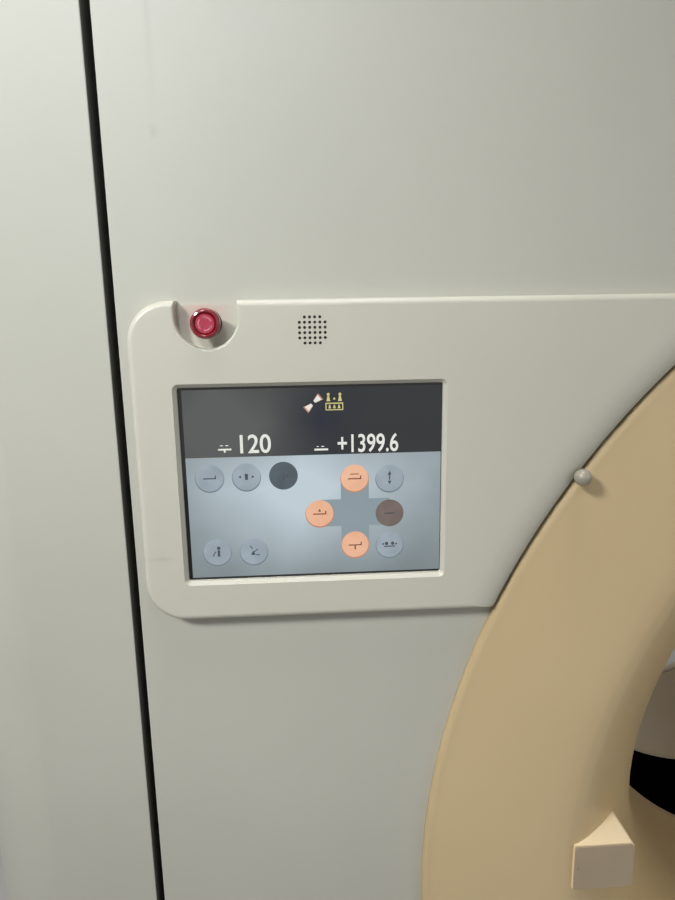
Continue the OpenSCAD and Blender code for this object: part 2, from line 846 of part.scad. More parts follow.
// Base cover with a hollowed top that follows the round underside
base_play = 2;
base_hw = tilt_hw - base_play;
base_rib = 4;
module base_outline(inset)
    difference() {
        translate([-cover_y + inset, floor_gap - axis_h - (inset > 0 ? over : 0)])
            square([base_cover_d - inset + (inset > 0 ? over : 0), axis_h / 2]);
        circle(belly_r + belly_gap + inset);
    }
module base_cover() {
    difference() {
        along_x(-base_hw, base_hw) base_outline(0);
        along_x(-base_hw + base_rib, base_hw - base_rib) base_outline(skin);
        block([-huge, -plate_y - 1, -axis_h - over], [huge, huge, foot_z]);
    }
    for (x = [-base_hw / 2, base_hw / 2])
        intersection() {
            along_x(x, x + base_rib) base_outline(0);
            block([-huge, -cover_y, foot_z], [huge, huge, 0]);
        }
}
module base_cover_front() color(cover_grey) at_axis() base_cover();

// Rear base cover with the opening for the gland plate
gland_w = 180;
gland_h = 90;
gland_up = 110;
gland_z = gland_up - axis_h;
gland_plate_t = 3;
gland_bore = 8;
gland_body = 13;
gland_out = 16;
gland_inside = 20;
gland_nut = 18;
gland_nut_t = 6;
gland_places = [-60, -10];
blank_at = 58;
blank_size = [60, 50];
blank_t = 2;
gland_screw_r = 2.5;
gland_screw_in = [12, 9];
module base_cover_rear() color(cover_grey) at_axis() mirror([0, 1, 0])
    difference() {
        base_cover();
        block([-gland_w / 2, -huge, gland_z - gland_h / 2],
              [gland_w / 2, -cover_y + 2 * skin, gland_z + gland_h / 2]);
    }

module gland_plate() color(bright_steel) at_axis() mirror([0, 1, 0])
    translate([0, -cover_y, gland_z])
        difference() {
            union() {
                along_y(0, gland_plate_t) square([gland_w, gland_h], center = true);
                for (x = gland_places) translate([x, 0, 0]) {
                    rod_y(gland_nut, -gland_nut_t, 0, $fn = 6);
                    rod_y(gland_body, -gland_out, gland_inside);
                }
                along_y(-blank_t, 0) translate([blank_at, 0]) square(blank_size, center = true);
            }
            for (x = gland_places)
                translate([x, 0, 0]) rod_y(gland_bore, -gland_out - over, gland_inside + over);
            for (sx = [-1, 1], sz = [-1, 1])
                translate([sx * (gland_w / 2 - gland_screw_in.x), 0,
                           sz * (gland_h / 2 - gland_screw_in.y)])
                    rod_y(gland_screw_r, -over, gland_plate_t + over, $fn = 24);
        }

// Tilt gear: involute teeth, a sector on the right trunnion and a pinion below it
pressure = 20;
function involute(a) = tan(a) * 180 / PI - a;
function tooth_half(n, r) =
    let (pitch_r = gear_m * n / 2, base_r = pitch_r * cos(pressure))
        90 / n - gear_play / 4 / pitch_r * 180 / PI
        + involute(pressure) - involute(acos(min(1, base_r / r)));
module tooth(n) {
    pitch_r = gear_m * n / 2;
    root = pitch_r - 1.25 * gear_m;
    from = max(root, pitch_r * cos(pressure));
    radii = concat([root - over], [for (i = [0:5]) from + (pitch_r + gear_m - from) * i / 5]);
    side = [for (r = radii) let (a = tooth_half(n, max(r, from))) [r * cos(a), r * sin(a)]];
    polygon(concat(side, [for (i = [len(side) - 1:-1:0]) [side[i].x, -side[i].y]]));
}
sector_pitch = gear_m * sector_n / 2;
pinion_pitch = gear_m * pinion_n / 2;
gear_distance = sector_pitch + pinion_pitch;
sector_at = 20;
sector_x = frame_x + frame_t + sector_at;
sector_side = 8;
hub_wall = 30;
press_gap = 0.02;
lightening_r = 45;
lightening_at = 186;
lightening_a = 22;
sector_step = 360 / sector_n;

module tilt_sector() color(steel_grey) at_axis() {
    root = sector_pitch - 1.25 * gear_m;
    half = (sector_side + 0.5) * sector_step;
    difference() {
        union() {
            rod_x(trunnion_r + hub_wall, sector_x, sector_x + sector_w);
            along_x(sector_x, sector_x + sector_w)
                intersection() {
                    circle(root);
                    polygon([[0, 0], 2 * root * [-sin(half), -cos(half)],
                             [0, -2 * root], 2 * root * [sin(half), -cos(half)]]);
                }
            for (i = [-sector_side:sector_side])
                along_x(sector_x, sector_x + sector_w)
                    rotate(-90 + i * sector_step) tooth(sector_n);
        }
        rod_x(trunnion_r + press_gap, 0, huge);
        for (s = [-1, 1])
            along_x(0, huge)
                rotate(-90 + s * lightening_a) translate([lightening_at, 0]) circle(lightening_r);
    }
}

pinion_shaft = 15;
pinion_lap = 3;
pinion_x = sector_x - pinion_lap;
pinion_w = sector_w + 2 * pinion_lap;
pinion_in = 35;
gearbox_x = pinion_x + pinion_w + pinion_lap;
module tilt_pinion() color(bright_steel) at_axis() translate([0, 0, -gear_distance]) {
    along_x(pinion_x, pinion_x + pinion_w) {
        circle(gear_m * pinion_n / 2 - 1.25 * gear_m);
        for (i = [0:pinion_n - 1]) rotate(90 + (i + 0.5) * 360 / pinion_n) tooth(pinion_n);
    }
    rod_x(pinion_shaft, pinion_x + pinion_w, gearbox_x + pinion_in);
}

// Geared motor on four stays, with a finned barrel that hangs from the gearbox
gearbox_t = 62;
gearbox_hw = 110;
gearbox_low = 65;
gearbox_high = 60;
gearbox_gap = 4;
stay_r = 9;
stay_in = 15;
barrel_r = 26;
barrel_l = 175;
barrel_fins = 10;
barrel_fin_at = 12;
barrel_fin_pitch = 15;
barrel_fin_t = 5;
module tilt_motor() color(dark_steel) at_axis() translate([0, 0, -gear_distance]) {
    box_t = min(gearbox_t, pillar_out - skin - gearbox_gap - gearbox_x);
    difference() {
        block([gearbox_x, -gearbox_hw, -gearbox_low],
              [gearbox_x + box_t, gearbox_hw, gearbox_high]);
        rod_x(pinion_shaft + bush_play, 0, gearbox_x + pinion_in + over);
    }
    for (s = [-1, 1], z = [-gearbox_low + stay_in, gearbox_high - stay_in])
        translate([0, s * (gearbox_hw - stay_in), z]) rod_x(stay_r, frame_x + frame_t, gearbox_x);
    translate([gearbox_x + box_t / 2, 0, -gearbox_low]) mirror([0, 0, 1]) {
        cylinder(r = barrel_r, h = barrel_l);
        for (i = [0:barrel_fins - 1])
            translate([0, 0, barrel_fin_at + i * barrel_fin_pitch])
                cylinder(r = box_t / 2 - over, h = barrel_fin_t);
    }
}

// Tilting frame: a plate behind the rotor, with side arms that carry the trunnions
rotor_behind = 32;
frame_y = rotor_y + rotor_t + rotor_behind;
plate_t = 40;
frame_back = frame_y + plate_t;
arm_half = 160;
arm_front = 120;
arm_side = 22;
arm_out = tilt_hw - arm_side;
arm_t = 40;
bearing_w = 40;
bearing_in = 10;
bearing_y = frame_y + bearing_in;
race_wall = 33;
race_out = ball_pitch + ball_r + race_wall;
race_in = ball_pitch - ball_r - race_wall;
seat_wall = 120;
spigot_play = 1;
brush_play = 10;
seat_gap = 0.2;
frame_side = tilt_hw - skin - seat_gap;
frame_top = top_rise - skin - seat_gap;
frame_low = -sqrt(pow(belly_r - skin, 2) - pow(frame_back, 2)) + seat_gap;
hoop = 60;
lug_r = 115;

module frame_front() {
    difference() {
        translate([-frame_side, frame_low]) square([2 * frame_side, frame_top - frame_low]);
        circle(race_out);
        difference() {
            translate([-frame_side + hoop, frame_low + hoop])
                square([2 * (frame_side - hoop), frame_top - frame_low - 2 * hoop]);
            circle(race_out + seat_wall);
            square([2 * frame_side, 2 * arm_half], center = true);
            square([2 * arm_half, 4 * frame_side], center = true);
            translate([-motor_x, -motor_z]) circle(lug_r);
            translate([-motor_x, -motor_z]) square([lug_r, huge]);
        }
        translate([-motor_x, -motor_z]) circle(motor_spigot + spigot_play);
        translate([(slip_in + slip_out) / 2, 0])
            square([slip_out - slip_in, brush_h] + 2 * brush_play * [1, 1], center = true);
    }
}

module gantry_frame() color(steel_grey) at_axis() {
    along_y(frame_y, frame_back) frame_front();
    for (s = [0, 1]) mirror([s, 0, 0])
        block([arm_out - arm_t, -arm_front, -arm_half], [arm_out, frame_y + over, arm_half]);
}

post_in = 47;
post_r = 12;
post_foot_r = 20;
post_foot_t = 5;
post_x = tilt_hw - post_in;
post_up = 295;
post_down = 30;
post_high = top_rise - crown_r - post_down;
post_low = post_up - sqrt(belly_r * belly_r - cover_y * cover_y);
module cover_posts() color(bright_steel) at_axis()
    for (x = [-post_x, post_x], z = [post_low, post_high]) translate([x, 0, z]) {
        rod_y(post_r, -cover_y + skin, frame_y);
        rod_y(post_foot_r, -cover_y + skin, -cover_y + skin + post_foot_t);
        rod_y(post_r, frame_back, cover_y - skin);
        rod_y(post_foot_r, cover_y - skin - post_foot_t, cover_y - skin);
    }

trunnion_flange_r = 115;
trunnion_flange_t = 15;
trunnion_past = 5;
bolt_n = 8;
bolt_circle = 88;
bolt_r = 9;
bolt_up = 0.5;
module trunnion() color(bright_steel) at_axis() {
    face = arm_out + trunnion_flange_t;
    rod_x(trunnion_flange_r, arm_out, face);
    rod_x(trunnion_r, face, sector_x + sector_w + trunnion_past);
    for (i = [0:bolt_n - 1]) rotate([i * 360 / bolt_n, 0, 0]) translate([0, bolt_circle, 0])
        rod_x(bolt_r, face - over, face + bolt_up, $fn = 6);
}
module trunnion_right() trunnion();
module trunnion_left() mirror([1, 0, 0]) trunnion();

// Main bearing
module ball_groove() translate([ball_pitch, bearing_y]) circle(ball_r + ball_play);
race_gap = 0.75 * ball_r;
module bearing_outer_ring() color(bright_steel) at_axis()
    about_y() difference() {
        translate([ball_pitch + race_gap, bearing_y - bearing_w / 2])
            square([race_out - ball_pitch - race_gap, bearing_w]);
        ball_groove();
    }
module bearing_inner_ring() color(bright_steel) at_axis()
    about_y() difference() {
        translate([race_in, bearing_y - bearing_w / 2])
            square([ball_pitch - race_gap - race_in, bearing_w]);
        ball_groove();
    }
module ball_places()
    for (i = [0:ball_n - 1]) to_angle(i * 360 / ball_n)
        translate([ball_pitch, bearing_y, 0]) children();
module bearing_balls() color(bright_steel) at_axis()
    ball_places() sphere(ball_r, $fn = 48);
cage_t = 8;
cage_edge = 4;
module bearing_cage() color(brass_yellow) at_axis()
    difference() {
        about_y() translate([ball_pitch - cage_t / 2, bearing_y - ball_r - cage_edge])
            square([cage_t, 2 * (ball_r + cage_edge)]);
        ball_places() rod_x(ball_r + ball_play, -cage_t, cage_t);
    }

// Rotor: a plate with a rim for the belt and a hub for the bearing
rotor_back = rotor_y + rotor_t;
hub_past = 22;
sleeve_l = 30;
sleeve_t = 12;
rim_l = 20;
rim_t = 18;
window_n = 12;
window_r = 55;
window_in = 200;
window_at = rotor_r - window_in;
slip_w = 82;
slip_rim = 28;
slip_t = 18;
slip_out = rotor_r - slip_rim;
slip_in = slip_out - slip_w;
module rotor_drum() color(bright_steel) at_axis()
    difference() {
        about_y() union() {
            translate([rotor_in, rotor_y]) square([rotor_r - rotor_in, rotor_t]);
            translate([rotor_in, rotor_y])
                square([race_in - rotor_in, bearing_y + hub_past - rotor_y]);
            translate([rotor_in, rotor_y - sleeve_l]) square([sleeve_t, sleeve_l + over]);
            translate([rotor_r - rim_t, rotor_y - rim_l]) square([rim_t, rim_l + over]);
        }
        for (i = [0:window_n - 1])
            to_angle((i + 0.5) * 360 / window_n) translate([window_at, 0, 0])
                rod_y(window_r, 0, huge);
    }

// Slip ring behind the rotor, with a groove for each track
track_n = 6;
track_w = 7;
track_d = 3;
track_edge = 6;
module slip_ring() color(brass_yellow) at_axis()
    about_y() difference() {
        pitch = (slip_w - 2 * track_edge - track_w) / (track_n - 1);
        translate([slip_in, rotor_back]) square([slip_w, slip_t]);
        for (i = [0:track_n - 1])
            translate([slip_in + track_edge + i * pitch, rotor_back + slip_t - track_d])
                square([track_w, track_d + over]);
    }

brush_h = 60;
brush_gap = 0.3;
brush_past = 30;
brush_ear = [25, 20];
brush_plate_t = 8;
module brush_block() color(dark_steel) at_axis() {
    block([slip_in, rotor_back + slip_t + brush_gap, -brush_h / 2],
          [slip_out, frame_back + brush_past, brush_h / 2]);
    block([slip_in - brush_ear.x, frame_back, -brush_h / 2 - brush_ear.y],
          [slip_out + brush_ear.x, frame_back + brush_plate_t, brush_h / 2 + brush_ear.y]);
}

// X-ray tube: a drum along the axis with stepped ends, two hoops and two cable sockets
tube_front = 130;
tube_step = 12;
tube_end = 25;
tube_eye_r = 30;
tube_eye_d = 10;
hoop_at = 48;
hoop_w = 12;
hoop_up = 6;
socket_y = 70;
socket_a = 50;
socket_r = 28;
socket_up = 35;
socket_nut_r = 34;
socket_nut_up = 12;
port = [60, 45, 60];
module xray_tube() color(steel_grey) at_axis() translate([0, 0, tube_at])
    difference() {
        union() {
            rod_y(tube_r, -tube_front, rotor_y - tube_end);
            rod_y(tube_r - tube_step, -tube_front - tube_end, rotor_y);
            rod_y(tube_r + hoop_up, -hoop_at - hoop_w, -hoop_at);
            rod_y(tube_r + hoop_up, hoop_at, hoop_at + hoop_w);
            for (s = [-1, 1]) rotate([0, s * socket_a, 0]) translate([0, -socket_y, 0]) {
                cylinder(r = socket_r, h = tube_r + socket_up);
                cylinder(r = socket_nut_r, h = tube_r + socket_nut_up);
            }
            block([-port.x, -port.y, -focus_drop - port.z], [port.x, port.y, 0]);
        }
        rod_y(tube_eye_r, -huge, -tube_front - tube_end + tube_eye_d);
    }

// Collimator: a lead block below the tube, cut by the fan of rays
coll_gap = 85;
coll_hw = 120;
coll_y = 70;
coll_arm_hw = 60;
coll_arm_in = 15;
slit_y = 12;
slit_top = 14;
slit_low = 90;
module collimator() color(dark_steel) at_axis() {
    top = focus_at - port.z;
    low = bore_r + coll_gap;
    difference() {
        union() {
            block([-coll_hw, -coll_y, low], [coll_hw, coll_y, top]);
            block([-coll_arm_hw, coll_y, low + coll_arm_in],
                  [coll_arm_hw, rotor_y, top - coll_arm_in]);
        }
        along_y(-slit_y, slit_y)
            polygon([[-slit_top, top + over], [slit_top, top + over],
                     [slit_low, low - over], [-slit_low, low - over]]);
    }
}

// Detector on an arc about the focal spot, with its data modules behind
module about_focus(r0, r1, y0, y1, half)
    translate([0, 0, focus_at]) rotate([-90, 0, 0]) rotate([0, 0, 90 - half])
        rotate_extrude(angle = 2 * half) translate([r0, y0]) square([r1 - r0, y1 - y0]);

detector_t = 60;
detector_y = 60;
carrier_at = 50;
carrier_t = 22;
carrier_y = 75;
carrier_past = 1;
module_hw = 22;
module_y = 62;
module_h = 64;
module_span = 0.93;
module detector_array() color(dark_steel) at_axis() {
    back = detector_r + carrier_at + carrier_t;
    about_focus(detector_r, detector_r + detector_t, -detector_y, detector_y, detector_half);
    about_focus(detector_r + carrier_at, back, -carrier_y, rotor_y, detector_half + carrier_past);
    for (i = [0:module_n - 1]) {
        a = detector_half * (2 * i / (module_n - 1) - 1) * module_span;
        translate([0, 0, focus_at]) rotate([0, a, 0])
            block([-module_hw, -module_y, -back - module_h + over],
                  [module_hw, module_y, -back + over]);
    }
}

// High-voltage generator on the left, cooler with its fins on the right, and balance weights on
// the rim below. The units' height balances the tube above the axis.
unit_front = -110;
cooler_front = -137;
unit_edge = 100;
unit_clear = 110;
unit_in = bore_r + unit_clear;
unit_out = rotor_r - unit_edge;
unit_h = 440;
unit_z = -65;
latch_n = 3;
latch = [180, 12, 60];
fin_n = 14;
fin_gap = 14;
fin_d = 60;
cooler_wall = 15;
weight_w = 300;
weight_h = 75;
weight_t = 60;
weight_rim = 40;
module rotor_units() color(steel_grey) at_axis() {
    low = unit_z - unit_h / 2;
    pitch = unit_h / (fin_n + 1);
    block([-unit_out, unit_front, low], [-unit_in, rotor_y, low + unit_h]);
    for (i = [1:latch_n])
        translate([-(unit_in + unit_out) / 2, unit_front - latch.y / 2,
                   low + i * unit_h / (latch_n + 1)])
            cube(latch, center = true);
    difference() {
        block([unit_in, cooler_front, low], [unit_out, rotor_y, low + unit_h]);
        for (i = [1:fin_n])
            translate([unit_in + cooler_wall, cooler_front - over, low + i * pitch - fin_gap / 2])
                cube([unit_out - unit_in - 2 * cooler_wall, fin_d, fin_gap]);
    }
    block([-weight_w / 2, rotor_y - weight_t, weight_rim - rotor_r],
          [weight_w / 2, rotor_y, weight_rim - rotor_r + weight_h]);
}

// Rotor drive: motor behind the frame, pulley in front of it, and the belt round the rim
motor_r = 75;
motor_l = 170;
motor_spigot = 40;
motor_shaft = 14;
motor_shaft_in = 30;
motor_flange_r = 95;
motor_flange_t = 12;
motor_fins = 8;
motor_fin_r = 84;
motor_fin_t = 6;
motor_fin_at = 26;
motor_fin_pitch = 16;
cheek_t = 3;
cheek_up = 3;
belt_y = rotor_y + rotor_t / 2;
belt_play = 0.3;
belt_sides = 240;
module at_motor() translate([-motor_x, 0, -motor_z]) children();
module drive_motor() color(dark_steel) at_axis() at_motor()
    difference() {
        union() {
            rod_y(motor_spigot, frame_y, frame_back);
            rod_y(motor_r, frame_back, frame_back + motor_l);
            rod_y(motor_flange_r, frame_back, frame_back + motor_flange_t);
            for (i = [0:motor_fins - 1])
                translate([0, frame_back + motor_fin_at + i * motor_fin_pitch, 0])
                    rod_y(motor_fin_r, 0, motor_fin_t);
        }
        rod_y(motor_shaft + bush_play, 0, frame_back + motor_shaft_in + over);
    }
module drive_pulley() color(bright_steel) at_axis() at_motor() {
    half = belt_w / 2 + over;
    rod_y(pulley_r, belt_y - half, belt_y + half);
    for (s = [-1, 1])
        translate([0, belt_y + s * (half + cheek_t / 2), 0])
            rod_y(pulley_r + belt_t + cheek_up, -cheek_t / 2, cheek_t / 2);
    rod_y(motor_shaft, belt_y + half, frame_back + motor_shaft_in);
}

// Belt: one closed loop round the rim and the pulley
module belt_loop(grow)
    hull() {
        circle(rotor_r + grow, $fn = belt_sides);
        translate([-motor_x, -motor_z]) circle(pulley_r + grow, $fn = belt_sides);
    }
module drive_belt() color(rubber_black) at_axis()
    along_y(belt_y - belt_w / 2, belt_y + belt_w / 2)
        difference() {
            belt_loop(belt_play + belt_t);
            belt_loop(belt_play);
        }

// Exhaust fans under the top cover
fan_top = top_rise - skin;
fan_pin = 5;
fan_pin_h = 21;
pod_r = 30;
pod_h = 12;
pod_top = fan_top - fan_h + pod_h;
strut_w = 10;
strut_t = 6;
strut_lap = 2;
module fan_frames() color(rubber_black) at_axis()
    for (s = [-1, 1]) translate([s * fan_x, 0, 0]) {
        difference() {
            block([-fan_side / 2, -fan_side / 2, fan_top - fan_h],
                  [fan_side / 2, fan_side / 2, fan_top]);
            cylinder(r = fan_hole, h = huge);
        }
        translate([0, 0, fan_top - fan_h]) {
            cylinder(r = pod_r, h = pod_h);
            for (a = [30, 150, 270]) rotate(a)
                translate([pod_r - strut_lap, -strut_w / 2, 0])
                    cube([fan_hole - pod_r + 2 * strut_lap, strut_w, strut_t]);
        }
        translate([0, 0, pod_top - over]) cylinder(r = fan_pin, h = fan_pin_h + over);
    }

wheel_gap = 0.3;
wheel_room = 20;
wheel_h = fan_h - wheel_room;
wheel_hub = pod_r + 4;
blade_t = 2.4;
blade_h = wheel_h - 6;
blade_tilt = 35;
blade_gap = 4;
module fan(s) color(dark_steel) at_axis() translate([s * fan_x, 0, pod_top + wheel_gap])
    difference() {
        union() {
            cylinder(r = wheel_hub, h = wheel_h);
            for (i = [0:fan_blades - 1]) rotate(i * 360 / fan_blades)
                translate([pod_r, 0, wheel_h / 2]) rotate([blade_tilt, 0, 0])
                    translate([0, -blade_t / 2, -blade_h / 2])
                        cube([fan_hole - pod_r - blade_gap, blade_t, blade_h]);
        }
        translate([0, 0, -over]) cylinder(r = fan_pin + bush_play, h = fan_pin_h + 3);
    }
module fan_left() fan(-1);
module fan_right() fan(1);

floor_plate();
pillar_left();
pillar_right();
tilt_bearing_left();
tilt_bearing_right();
pillar_cover_left();
pillar_cover_right();
base_cover_front();
base_cover_rear();
gland_plate();
tilt_motor();
tilt_pinion();
gantry_frame();
cover_posts();
trunnion_left();
trunnion_right();
tilt_sector();
bearing_outer_ring();
front_cover();
rear_cover();
top_cover();
side_cover_left();
side_cover_right();
bottom_cover();
front_ring();
rear_ring();
tunnel_rear();
scan_window();
window_trims();
panel_left();
panel_right();
display_left();
display_right();
touch_glass_left();
touch_glass_right();
stop_base_left();
stop_base_right();
speakers();
laser_boxes();
laser_plates();
laser_modules();
ring_knobs();
drive_motor();
drive_belt();
brush_block();
fan_frames();
drive_pulley();
stop_button_left();
stop_button_right();
fan_left();
fan_right();
bearing_balls();
bearing_cage();
rotor_drum();
bearing_inner_ring();
slip_ring();
xray_tube();
collimator();
rotor_units();
detector_array();
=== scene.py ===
# %% [markdown]
# A scanner housing that a patient is moved through. The solid parts come ready made, so this file
# only gives them their looks: finishes, the lit control screens, crisp edges, light and a camera.
# We load the solids first.

import json
import math

import bpy
from mathutils import Matrix, Vector


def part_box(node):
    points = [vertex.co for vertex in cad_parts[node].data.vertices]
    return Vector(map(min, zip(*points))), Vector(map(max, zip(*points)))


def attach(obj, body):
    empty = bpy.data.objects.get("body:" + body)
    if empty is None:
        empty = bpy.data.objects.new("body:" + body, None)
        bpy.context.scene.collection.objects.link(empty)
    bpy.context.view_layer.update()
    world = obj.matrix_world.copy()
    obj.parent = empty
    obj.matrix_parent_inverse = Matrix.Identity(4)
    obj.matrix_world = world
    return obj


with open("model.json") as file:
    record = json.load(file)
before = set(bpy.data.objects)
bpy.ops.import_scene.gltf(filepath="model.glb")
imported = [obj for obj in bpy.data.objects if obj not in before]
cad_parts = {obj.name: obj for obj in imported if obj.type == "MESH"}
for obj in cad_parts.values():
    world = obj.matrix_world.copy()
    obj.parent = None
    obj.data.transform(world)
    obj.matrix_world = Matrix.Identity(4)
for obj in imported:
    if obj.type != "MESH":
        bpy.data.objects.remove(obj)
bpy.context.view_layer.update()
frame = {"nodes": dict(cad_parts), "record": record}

# %% [markdown]
# The view is close to the upper left of the front, a little from above. A camera could be placed by
# eye, but here its place and turn were worked out from straight edges of the housing, so the values
# are written down as they came out. The focal length is in pixels of a picture 675 by 900, the place
# in metres and the turns in degrees.

# %% Camera
PICTURE_W, PICTURE_H = 675, 900
FOCAL_PIXELS = 650
SENSOR_MM = 36
NEAREST = 0.01
EYE = (-0.7976, -1.0357, 1.5420)
TURN, TIP, LEAN = -3.065, -11.694, 0.967


def turned(degrees, axis):
    return Matrix.Rotation(math.radians(degrees), 4, axis)


lens = bpy.data.cameras.new("eye")
lens.sensor_width = SENSOR_MM
lens.lens = FOCAL_PIXELS / max(PICTURE_W, PICTURE_H) * SENSOR_MM
lens.clip_start = NEAREST
eye = bpy.data.objects.new("eye", lens)
eye.matrix_world = (Matrix.Translation(EYE) @ turned(TURN, "Z") @ turned(TIP, "X")
                    @ turned(LEAN, "Y") @ turned(90, "X"))
bpy.context.scene.collection.objects.link(eye)
bpy.context.scene.camera = eye
bpy.context.scene.view_settings.view_transform = "Standard"
print("lens:", round(lens.lens, 2), "mm")

# %% [markdown]
# Finishes are built from shader nodes. Linking nodes by hand hides the idea behind a formula, so a
# small class wraps one output socket and lets us write sums with it. Every other node comes from
# its one method, which takes the kind of node, its settings and what goes into its sockets. A Mix
# node has sockets for numbers, vectors and colours, so the ones for colours are named by number.

# %% Shader sums
MIX_FACTOR, MIX_LOW, MIX_HIGH, MIX_RESULT = 0, 6, 7, 2


def colour(value):
    return value if isinstance(value, Wire) else (*value, 1)


class Wire:
    """One output socket of a finish's nodes. It can be used in sums like a number."""

    def __init__(self, tree, socket=None):
        self.tree, self.socket = tree, socket

    def node(self, kind, settings=None, sockets=None, out=0):
        made = self.tree.nodes.new("ShaderNode" + kind)
        for name, value in (settings or {}).items():
            setattr(made, name, value)
        for name, value in (sockets or {}).items():
            if isinstance(value, Wire):
                self.tree.links.new(value.socket, made.inputs[name])
            else:
                made.inputs[name].default_value = value
        return Wire(self.tree, made.outputs[out])

    def maths(self, operation, a, b):
        return self.node("Math", {"operation": operation}, {0: a, 1: b})

    def __add__(self, other):
        return self.maths("ADD", self, other)

    def __sub__(self, other):
        return self.maths("SUBTRACT", self, other)

    def __rsub__(self, other):
        return self.maths("SUBTRACT", other, self)

    def __mul__(self, other):
        return self.maths("MULTIPLY", self, other)

    def __truediv__(self, other):
        return self.maths("DIVIDE", self, other)

    __radd__, __rmul__ = __add__, __mul__

    def held(self):
        """The value kept between 0 and 1."""
        return self.node("Math", {"operation": "ADD", "use_clamp": True}, {0: self, 1: 0.0})

    def absolute(self):
        return self.maths("ABSOLUTE", self, 0.0)

    def root(self):
        return self.maths("POWER", self, 0.5)

    def choose(self, low, high):
        """A colour between low at 0 and high at 1."""
        ends = {MIX_FACTOR: self, MIX_LOW: colour(low), MIX_HIGH: colour(high)}
        return self.node("Mix", {"data_type": "RGBA"}, ends, MIX_RESULT)

    def split(self):
        """X, Y and Z of a place, as three wires."""
        parts = self.node("SeparateXYZ", None, {0: self}).socket.node.outputs
        return [Wire(self.tree, part) for part in parts]


print("a wire offers:", [name for name in vars(Wire) if not name.startswith("_")])

# %% [markdown]
# A screen colour is easiest to judge as three numbers from 0 to 255, but the renderer works with
# linear light. The first helper turns one into the other. The next one opens a new finish and
# returns the place on the piece in metres, which is the wire to build on, and its main shader.

# %% Colours and new finishes
OBJECT_PLACE = 3


def seen(r, g, b):
    return tuple(((c / 255 + 0.055) / 1.055) ** 2.4 if c > 10 else c / 255 / 12.92
                 for c in (r, g, b))


def open_finish(name):
    made = bpy.data.materials.new(name)
    made.use_nodes = True
    place = Wire(made.node_tree).node("TexCoord", out=OBJECT_PLACE)
    return made, place, made.node_tree.nodes["Principled BSDF"]


def feed(shader, name, value):
    value.tree.links.new(value.socket, shader.inputs[name])


def cloud(place, scale, detail=3.0, rough=0.5):
    return place.node("TexNoise", None, {"Vector": place, "Scale": scale, "Detail": detail,
                                         "Roughness": rough})


def bumps(height, strength, distance):
    return height.node("Bump", None, {"Height": height, "Strength": strength, "Distance": distance})


print("middle grey in linear light:", [round(c, 3) for c in seen(128, 128, 128)])

# %% [markdown]
# Moulded plastic is never one even colour. It yellows in soft patches, its fine grain breaks up the
# highlight, and wiping leaves it a little smoother in places. An image would need unwrapping, so
# three clouds of different size do this from the place on the piece, in metres: the same grain then
# runs over every cover at its true scale. A wide piece may also have its edges eased for the light.

# %% Moulded plastic
MM = 1000
GRAIN_MM, GRAIN_DEPTH_MM = 0.9, 0.02
PATCHES, SMEARS, RIPPLES = 2.2, 9.0, 14.0


def moulded(name, pale, deep, rough, grain_mm=GRAIN_MM, patch=PATCHES, marks=None, ease=0.0):
    made, place, shader = open_finish(name)
    patches = cloud(place, patch, detail=4.0)
    smears = cloud(place, SMEARS, detail=5.0, rough=0.6)
    grain = cloud(place, MM / grain_mm, detail=2.0)
    ripple = cloud(place, RIPPLES, detail=1.0)
    shade = ((patches - 0.5) * 1.6 + 0.5 + (smears - 0.5) * 0.35).held().choose(deep, pale)
    if marks:
        shade = marks(place, shade)
    feed(shader, "Base Color", shade)
    feed(shader, "Roughness", (rough + (smears - 0.5) * 0.16 + (grain - 0.5) * 0.06).held())
    relief = bumps(grain + ripple * 6.0, strength=0.35, distance=GRAIN_DEPTH_MM / MM)
    if ease:
        eased = place.node("Bevel", {"samples": 4}, {"Radius": ease})
        feed(relief.socket.node, "Normal", eased)
    feed(shader, "Normal", relief)
    return made


print("grains in a metre:", round(MM / GRAIN_MM))

# %% [markdown]
# The housing shows a little wear: a faint upright streak with a small mark on the cover above the
# panel, and a scuff on the panel's left edge. Each is a soft spot or stripe round a place given in
# metres, and it only darkens the colour by a few percent. A further spot is painted light: a blush
# of red light from the clear stop button, painted on the floor of its scoop. The pillars' inner
# walls, deep in the narrow gap, get painted shade: their colour is made dark.

# %% Wear marks, painted red light and painted shade
STREAK = ((-0.902, 1.79), (0.004, 0.11))
MARK = ((-0.903, 1.679), (0.004, 0.006))
SCUFF = ((-0.917, 1.347), (0.014, 0.0025))
BLUSH = ((-0.8735, 1.5445), (0.024, 0.022))
WALL_X, WALL_HALF, WALL_SOFT = 0.9487, 0.0008, 0.0002
EASE = 0.012


def spot(place, centre, reach):
    """1 at the centre, falling to 0 at the reach, given for X and Z."""
    x, y, z = place.split()
    across = ((x - centre[0]) / reach[0]).absolute()
    up = ((z - centre[1]) / reach[1]).absolute()
    return ((1.0 - across).held() * (1.0 - up).held()).held()


def cover_wear_and_gap_shade(place, shade):
    worn = (spot(place, *STREAK) * 0.30 + spot(place, *MARK) * 0.40).held()
    worn = worn.choose(shade, (0.30, 0.29, 0.26))
    from_middle = place.split()[0].absolute()
    # painted shade: the pillars' inner walls in the deep gap are made dark in their colour
    painted_gap_shade = (WALL_HALF - (from_middle - WALL_X).absolute()) / WALL_SOFT
    return painted_gap_shade.held().choose(worn, (0.10, 0.10, 0.09))


def panel_scuff_and_red_glow(place, shade):
    worn = (spot(place, *SCUFF) * 0.30).held().choose(shade, (0.26, 0.24, 0.20))
    # painted light: a pink blush of red light from the stop button on the scoop's floor
    return (spot(place, *BLUSH) * 0.55).held().choose(worn, (0.62, 0.30, 0.27))


